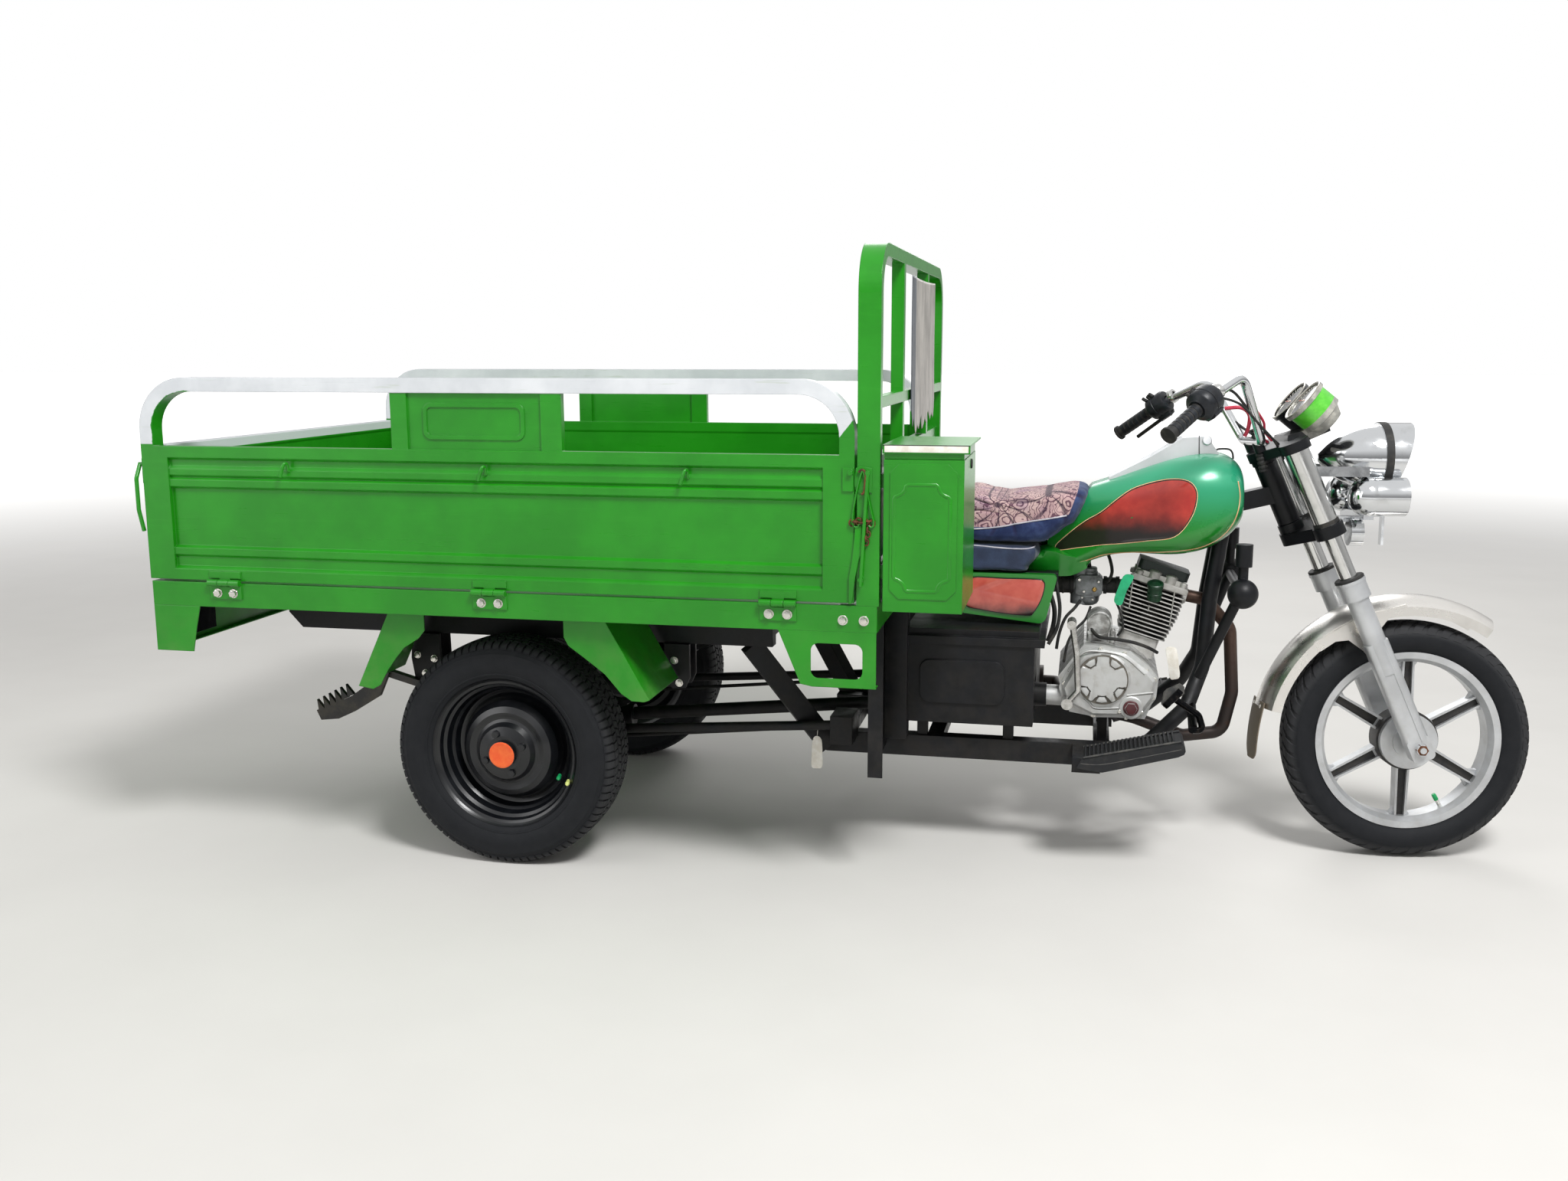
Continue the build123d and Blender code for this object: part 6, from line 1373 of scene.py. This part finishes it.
def wheel_trim():
    """Orange centre discs, valve caps, wheel nuts and the dark inlays of the front spokes."""
    for side, sign in (("right", -1), ("left", 1)):
        grid = bmesh.new()
        centre = place(REAR_AXLE.x, sign * (HALF_TRACK + 78), REAR_AXLE.z)
        lathe(grid, ((0, -0.4), (32.6, -0.4), (32.6, 0.5), (31.4, 1.2), (27, 1.2), (26, 0.9), (0, 0.9)),
              centre, (0, sign, 0), 48)
        for index in range(4):
            angle = radians(22 + 90 * index)
            at = place(REAR_AXLE.x + 52 * cos(angle), sign * (HALF_TRACK + 68),
                       REAR_AXLE.z + 52 * sin(angle))
            prism(grid, hexagon(9.8), axes(at, (1, 0, 0), (0, 0, 1) if sign < 0 else (0, 0, -1)), 3.2, 1.0,
                  material=1)
        for x, z, material in ((1000, 225, 2), (1030, 219, 3)):
            at = place(x, sign * (HALF_TRACK + (44 if material == 2 else 64)), z)
            out = Vector((0.25, sign, 0))
            lathe(grid, ((0, -12), (4.6, -12), (4.6, 6), (5.4, 7), (5.4, 12), (3.4, 15.5), (0, 15.5)), at,
                  out, 16, material=material)
        finished(f"rear_wheel_trim_{side}", grid, [orange, gloss_black, valve_green, valve_yellow],
                 f"rear_wheel_set_{side}")
    grid = bmesh.new()
    middle = place(*FRONT_AXLE)
    for index in range(6):
        angle = radians(30 + 60 * index)
        u, v = Vector((cos(angle), 0, sin(angle))), Vector((-sin(angle), 0, cos(angle)))
        for sign in (-1, 1):
            across = v if sign < 0 else -v
            at = middle + Vector((0, sign * 0.0068, 0))
            prism(grid, ((80, -11), (176, -9.2), (200, -9.2), (200, 9.2), (176, 9.2), (80, 11)),
                  axes(at, u, across), 0.8, 0.3)
    lathe(grid, ((69.2, -36.2), (74.4, -36.2), (74.4, -30), (74.4, 20), (73.0, 22.6), (60, 22.6),
                 (60, 21.6), (69.2, 21.6)), middle, (0, 1, 0), 64, True)
    out = Vector((0.5, 0, -0.866))
    lathe(grid, ((0, 170), (4.4, 170), (4.4, 196), (0, 196)), middle + Vector((0, -0.002, 0)), out, 14,
          material=1)
    lathe(grid, ((0, 164), (4.8, 165), (5.6, 172), (5.6, 182), (0, 182)), middle + Vector((0, -0.002, 0)),
          out, 14, material=2)
    finished("front_wheel_inlays", grid, [inlay_dark, zinc, valve_green], "front_wheel_set", turned=True)


# Steering


def fork_trim():
    """Dust seals and rusty axle nuts of the fork, lamp glasses and band, gauge faces and fender flap."""
    grid = bmesh.new()
    for side in (-1, 1):
        lathe(grid, ((21, 0), (33, 0), (35, 1.4), (35, 4.6), (33, 6.5), (21, 6.5)),
              place(*fork_place(445, 0, side * FORK_HALF)), RAKE_BACK, 36, True)
        lathe(grid, ((28.4, 0), (30.6, 0), (30.6, 9), (28.4, 9)),
              place(*fork_place(591, 0, side * FORK_HALF)), RAKE_BACK, 36, True)
        nut = place(*fork_place(0, 0, side * 138.6))
        prism(grid, hexagon(14.6), axes(nut, (1, 0, 0), (0, 0, 1) if side < 0 else (0, 0, -1)), 11.6, 1.4,
              material=1)
    finished("fork_seals", grid, [rubber, rust], "steering", turned=True)

    grid = bmesh.new()
    ahead = (1, 0, 0)
    at = place(0, 0, 993)
    base = 2938.0
    lathe(grid, ((85.2, base - 3), (87.0, base - 3), (87.4, base + 4), (87.0, base + 15),
                 (85.2, base + 15)), at, ahead, 64, True, material=1)
    dome = [(80.6, base + 14.0), (80.6, base + 15.6)]
    dome += [(80.6 * cos(a), base + 15.6 + 11.6 * sin(a)) for a in (pi / 2 * k / 8 for k in range(1, 8))]
    lathe(grid, [(0, base + 14.0)] + dome + [(0, base + 27.2)], at, ahead, 64, material=0)
    for side in (-1, 1):
        spot = place(0, side * 96, 902)
        face = [(41.6, 2967.2), (41.6, 2968.2)]
        face += [(41.6 * cos(a), 2968.2 + 7.8 * sin(a)) for a in (pi / 2 * k / 6 for k in range(1, 6))]
        lathe(grid, [(0, 2967.2)] + face + [(0, 2976.2)], spot, ahead, 40, material=0)
    finished("lamp_lenses", grid, [lens, rubber], "steering", turned=True)

    grid = bmesh.new()
    tilt = GAUGE_FACE
    across = tilt.cross(Vector((0, 1, 0)))
    for side in (-1, 1):
        at = place(GAUGE_PLACE[0], side * GAUGE_HALF, GAUGE_PLACE[1])
        lathe(grid, ((0, -4.6), (50.4, -4.6), (50.4, -3.2), (0, -2.4)), at, tilt, 48, material=0)
        lathe(grid, ((50.6, -0.6), (57.4, -0.6), (57.4, 0.8), (55.5, 2.0), (52.5, 1.6), (50.6, 0.4)), at,
              tilt, 48, True, material=1)
        lathe(grid, ((0, -2.6), (3.4, -2.6), (3.4, -1.2), (0, -1.2)), at, tilt, 16, material=3)
        needle = axes(at - tilt * 0.0020, across, (0, 1, 0))
        prism(grid, ((-1.0, -6), (1.0, -6), (0.5, 38), (-0.5, 38)), needle, 0.6, 0.1, material=2)
        for index in range(21):
            a = radians(-120 + index * 12)
            out = Vector((sin(a), cos(a), 0))
            tick = [(out.x * r + s * out.y, out.y * r - s * out.x)
                    for r, s in ((40, -0.7), (47, -0.7), (47, 0.7), (40, 0.7))]
            prism(grid, tick, axes(at - tilt * 0.0027, across, (0, 1, 0)), 0.5, material=3)
    finished("gauge_faces", grid, [dial, silver_ring, orange, white_band], "steering", turned=True)

    grid = bmesh.new()
    rows = []
    for k in range(15):
        t = k / 14
        z = 384 - 146 * t
        x = 2686 - 15 * t - 7 * sin(pi * t) * 0.6
        half = 52 - 4 * t if t < 0.8 else 48.8 * sqrt(max(1 - ((t - 0.8) / 0.2) ** 2 * 0.72, 0.05))
        rows.append([place(x - 6 * (1 - (s / 6) ** 2) * (0.4 + 0.6 * t), half * s / 6, z)
                     for s in range(-6, 7)])
    skin(grid, rows, False, 3.0)
    for y in (-30, 30):
        bolt(grid, place(2683.5, y, 372), (-1, 0, 0.1), 8, 5.5, 4, 1)
    flap = finished("fender_flap", grid, [tan_rubber, zinc], "steering", 50, turned=True)
    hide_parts("mud_flap")


def bar_trim():
    """Leads, switch housings, grip rings and clamps at the handlebar, and the ribbed sleeve to the yoke."""
    grid = bmesh.new()
    runs = ((((2492, -252, 1140), (2540, -200, 1150), (2592, -150, 1106), (2640, -96, 1060),
              (2690, -50, 1024)), 3.4, 0),
            (((2500, -262, 1134), (2560, -210, 1118), (2618, -160, 1070), (2668, -104, 1030),
              (2700, -60, 990)), 3.0, 0),
            (((2618, -120, 1104), (2640, -98, 1078), (2648, -84, 1054), (2668, -70, 1034)), 3.2, 1),
            (((2604, -112, 1092), (2630, -92, 1066), (2640, -76, 1044), (2662, -58, 1030)), 3.2, 1),
            (((2492, 252, 1140), (2540, 200, 1150), (2592, 150, 1106), (2640, 96, 1060), (2690, 50, 1024)),
             3.4, 0))
    for points, radius, material in runs:
        tube(grid, smooth_line([place(*p) for p in points], 8), radius, 8, material)
    end, root = Vector((2367, -389, 1046)), Vector((2468, -302, 1128))
    for side in (-1, 1):
        low, high = (Vector((v.x, v.y * -side, v.z)) for v in (end, root))
        run = (high - low).normalized()
        at = place(*low)
        drum = ((12, 112), (21, 112), (24, 116), (33, 119), (36.5, 124), (37, 138), (35.6, 139),
                (35.6, 141), (37, 142), (37, 160), (34, 168), (24, 172), (20, 180), (12, 180))
        small = ((12, 116), (24, 116), (29, 120), (31, 128), (31, 140), (29.8, 141), (29.8, 143), (31, 144),
                 (31, 166), (27, 172), (12, 174))
        lathe(grid, drum if side < 0 else small, at, run, 40, True, 2)
        for ring in range(6):
            lathe(grid, ((15, 20 + ring * 15), (16.9, 20.6 + ring * 15), (16.9, 30 + ring * 15),
                         (15, 31 + ring * 15)), at, run, 24, True, 2)
        below = run.cross(Vector((0, side, 0))).normalized()
        below = below if below.z < 0 else -below
        block = at + run * 0.146 + below * 0.020
        prism(grid, ((-16, -18), (16, -18), (20, -10), (20, 12), (12, 20), (-12, 20), (-20, 10),
                     (-20, -12)), axes(block - run * 0.018, below, run.cross(below)), 36, 4.0, 2)
        for u, v, r, material in ((0.012, -0.030, 5.5, 0), (-0.010, -0.030, 4.5, 0),
                                  (0.002, -0.024, 6.0, 0)):
            knob = at + run * (0.146 + u) - below * 0.020 + Vector((v * 0.5, 0, 0))
            lathe(grid, ((0, 0), (r, 0), (r, 12), (r - 1.5, 14), (0, 14)), knob,
                  Vector((-0.8, side * 0.3, 0.5)), 16, material=material)
        clamp = ((11.2, 0), (18, 0), (19, 1.5), (19, 12.5), (18, 14), (11.2, 14))
        lathe(grid, clamp, at + run * 0.184, run, 28, True, 3)
    thick = ((2548, -96, 1110), (2584, -104, 1112), (2606, -96, 1096), (2608, -86, 1066), (2602, -78, 1044))
    tube(grid, smooth_line([place(*p) for p in thick], 7), 4.8, 10, 1)
    sleeve = smooth_line([place(2630, -44, 1062), place(2640, -44, 1030), place(2650, -42, 995),
                          place(2660, -38, 958)], 12)
    tube(grid, sleeve, 12, 14, 0, [11.0 if k % 3 else 8.5 for k in range(len(sleeve))])
    finished("bar_fittings", grid, [rubber, lead_red, switch_black, hazed_chrome], "steering", 40,
             turned=True)


bed_bolts()
frame_bolts()
latch_chain()
lid_strip()
hung_cloth()
footboard_pads()
box_panel()
seat()
tank_paint()
tank_tail()
engine_trim()
for side in ("right", "left"):
    rear_tyre(side, f"rear_tyre_treaded_{side}")
front_tyre_piece()
wheel_trim()
fork_trim()
bar_trim()


# Floor, light and camera


def studio():
    """Pale floor, soft lamps, white surround and the camera where the photograph was taken."""
    mesh = bpy.data.meshes.new("floor")
    grid = bmesh.new()
    bmesh.ops.create_grid(grid, x_segments=2, y_segments=2, size=60.0)
    grid.to_mesh(mesh)
    grid.free()
    floor = bpy.data.objects.new("floor", mesh)
    bpy.context.collection.objects.link(floor)
    material, tree, shader, coords = surface("pale_floor", roughness=0.9)
    cloud = mottle(tree, coords, 400.0, 3.0)
    finish(tree, shader, add(tree, "Mix RGBA", cloud, linear("#D6D4D0"), linear("#DEDCD8")))
    away = add(tree, "VectorMath LENGTH", coords)
    fade = add(tree, "MapRange SMOOTHSTEP", away, 3.2, 15.0)
    shader.inputs["Emission Color"].default_value = (1, 1, 1, 1)
    tree.links.new(fade, shader.inputs["Emission Strength"])
    mesh.materials.append(material)

    world = bpy.data.worlds.new("studio")
    bpy.context.scene.world = world
    world.use_nodes = True
    tree = world.node_tree
    background = tree.nodes["Background"]
    eye, glass, shine = (add(tree, "LightPath", out=f"Is {ray} Ray")
                         for ray in ("Camera", "Transmission", "Glossy"))
    height = add(tree, "SeparateXYZ", add(tree, "TexCoord", out="Generated"), out="Z")
    sky = add(tree, "MapRange SMOOTHSTEP", height, 0.02, 0.55)
    mirrored = add(tree, "Math ADD", add(tree, "Math MULTIPLY", sky, 0.62), 0.3)
    lit = add(tree, "Mix", shine, 0.41, mirrored)
    seen = add(tree, "Math MAXIMUM", eye, glass)
    strength = add(tree, "Mix", seen, lit, 1.0)
    background.inputs["Color"].default_value = (1, 1, 1, 1)
    tree.links.new(strength, background.inputs["Strength"])

    lights = (("key", (2.2, -3.4, 5.4), (0, 0, 0.5), 1.5, 345),
              ("fill", (-4.0, -3.0, 2.6), (0, 0, 0.6), 3.0, 60),
              ("rim", (0.5, 4.5, 3.6), (0, 0, 0.8), 3.0, 90))
    for name, place_m, aim, size, power in lights:
        lamp = bpy.data.lights.new(name, "AREA")
        lamp.size = size
        lamp.energy = power
        holder = bpy.data.objects.new(name, lamp)
        holder.location = place_m
        holder.rotation_euler = (Vector(aim) - Vector(place_m)).to_track_quat("-Z", "Y").to_euler()
        bpy.context.collection.objects.link(holder)

    yaw, pitch, roll = radians(12.15), radians(9.821), radians(0.131)
    forward = Vector((-sin(yaw) * cos(pitch), cos(yaw) * cos(pitch), -sin(pitch)))
    right = Vector((cos(yaw), sin(yaw), 0))
    down = forward.cross(right)
    across = right * cos(roll) + down * sin(roll)
    lower = down * cos(roll) - right * sin(roll)
    camera_data = bpy.data.cameras.new("camera")
    camera_data.sensor_width = 36.0
    camera_data.lens = 1840.9 / 2048 * 36.0
    camera = bpy.data.objects.new("camera", camera_data)
    turn = Matrix((across, -lower, -forward)).transposed().to_4x4()
    camera.matrix_world = Matrix.Translation(place(2241.6, -3658.75, 1264.36)) @ turn
    bpy.context.collection.objects.link(camera)
    bpy.context.scene.camera = camera
    bpy.context.scene.view_settings.view_transform = "Standard"


studio()
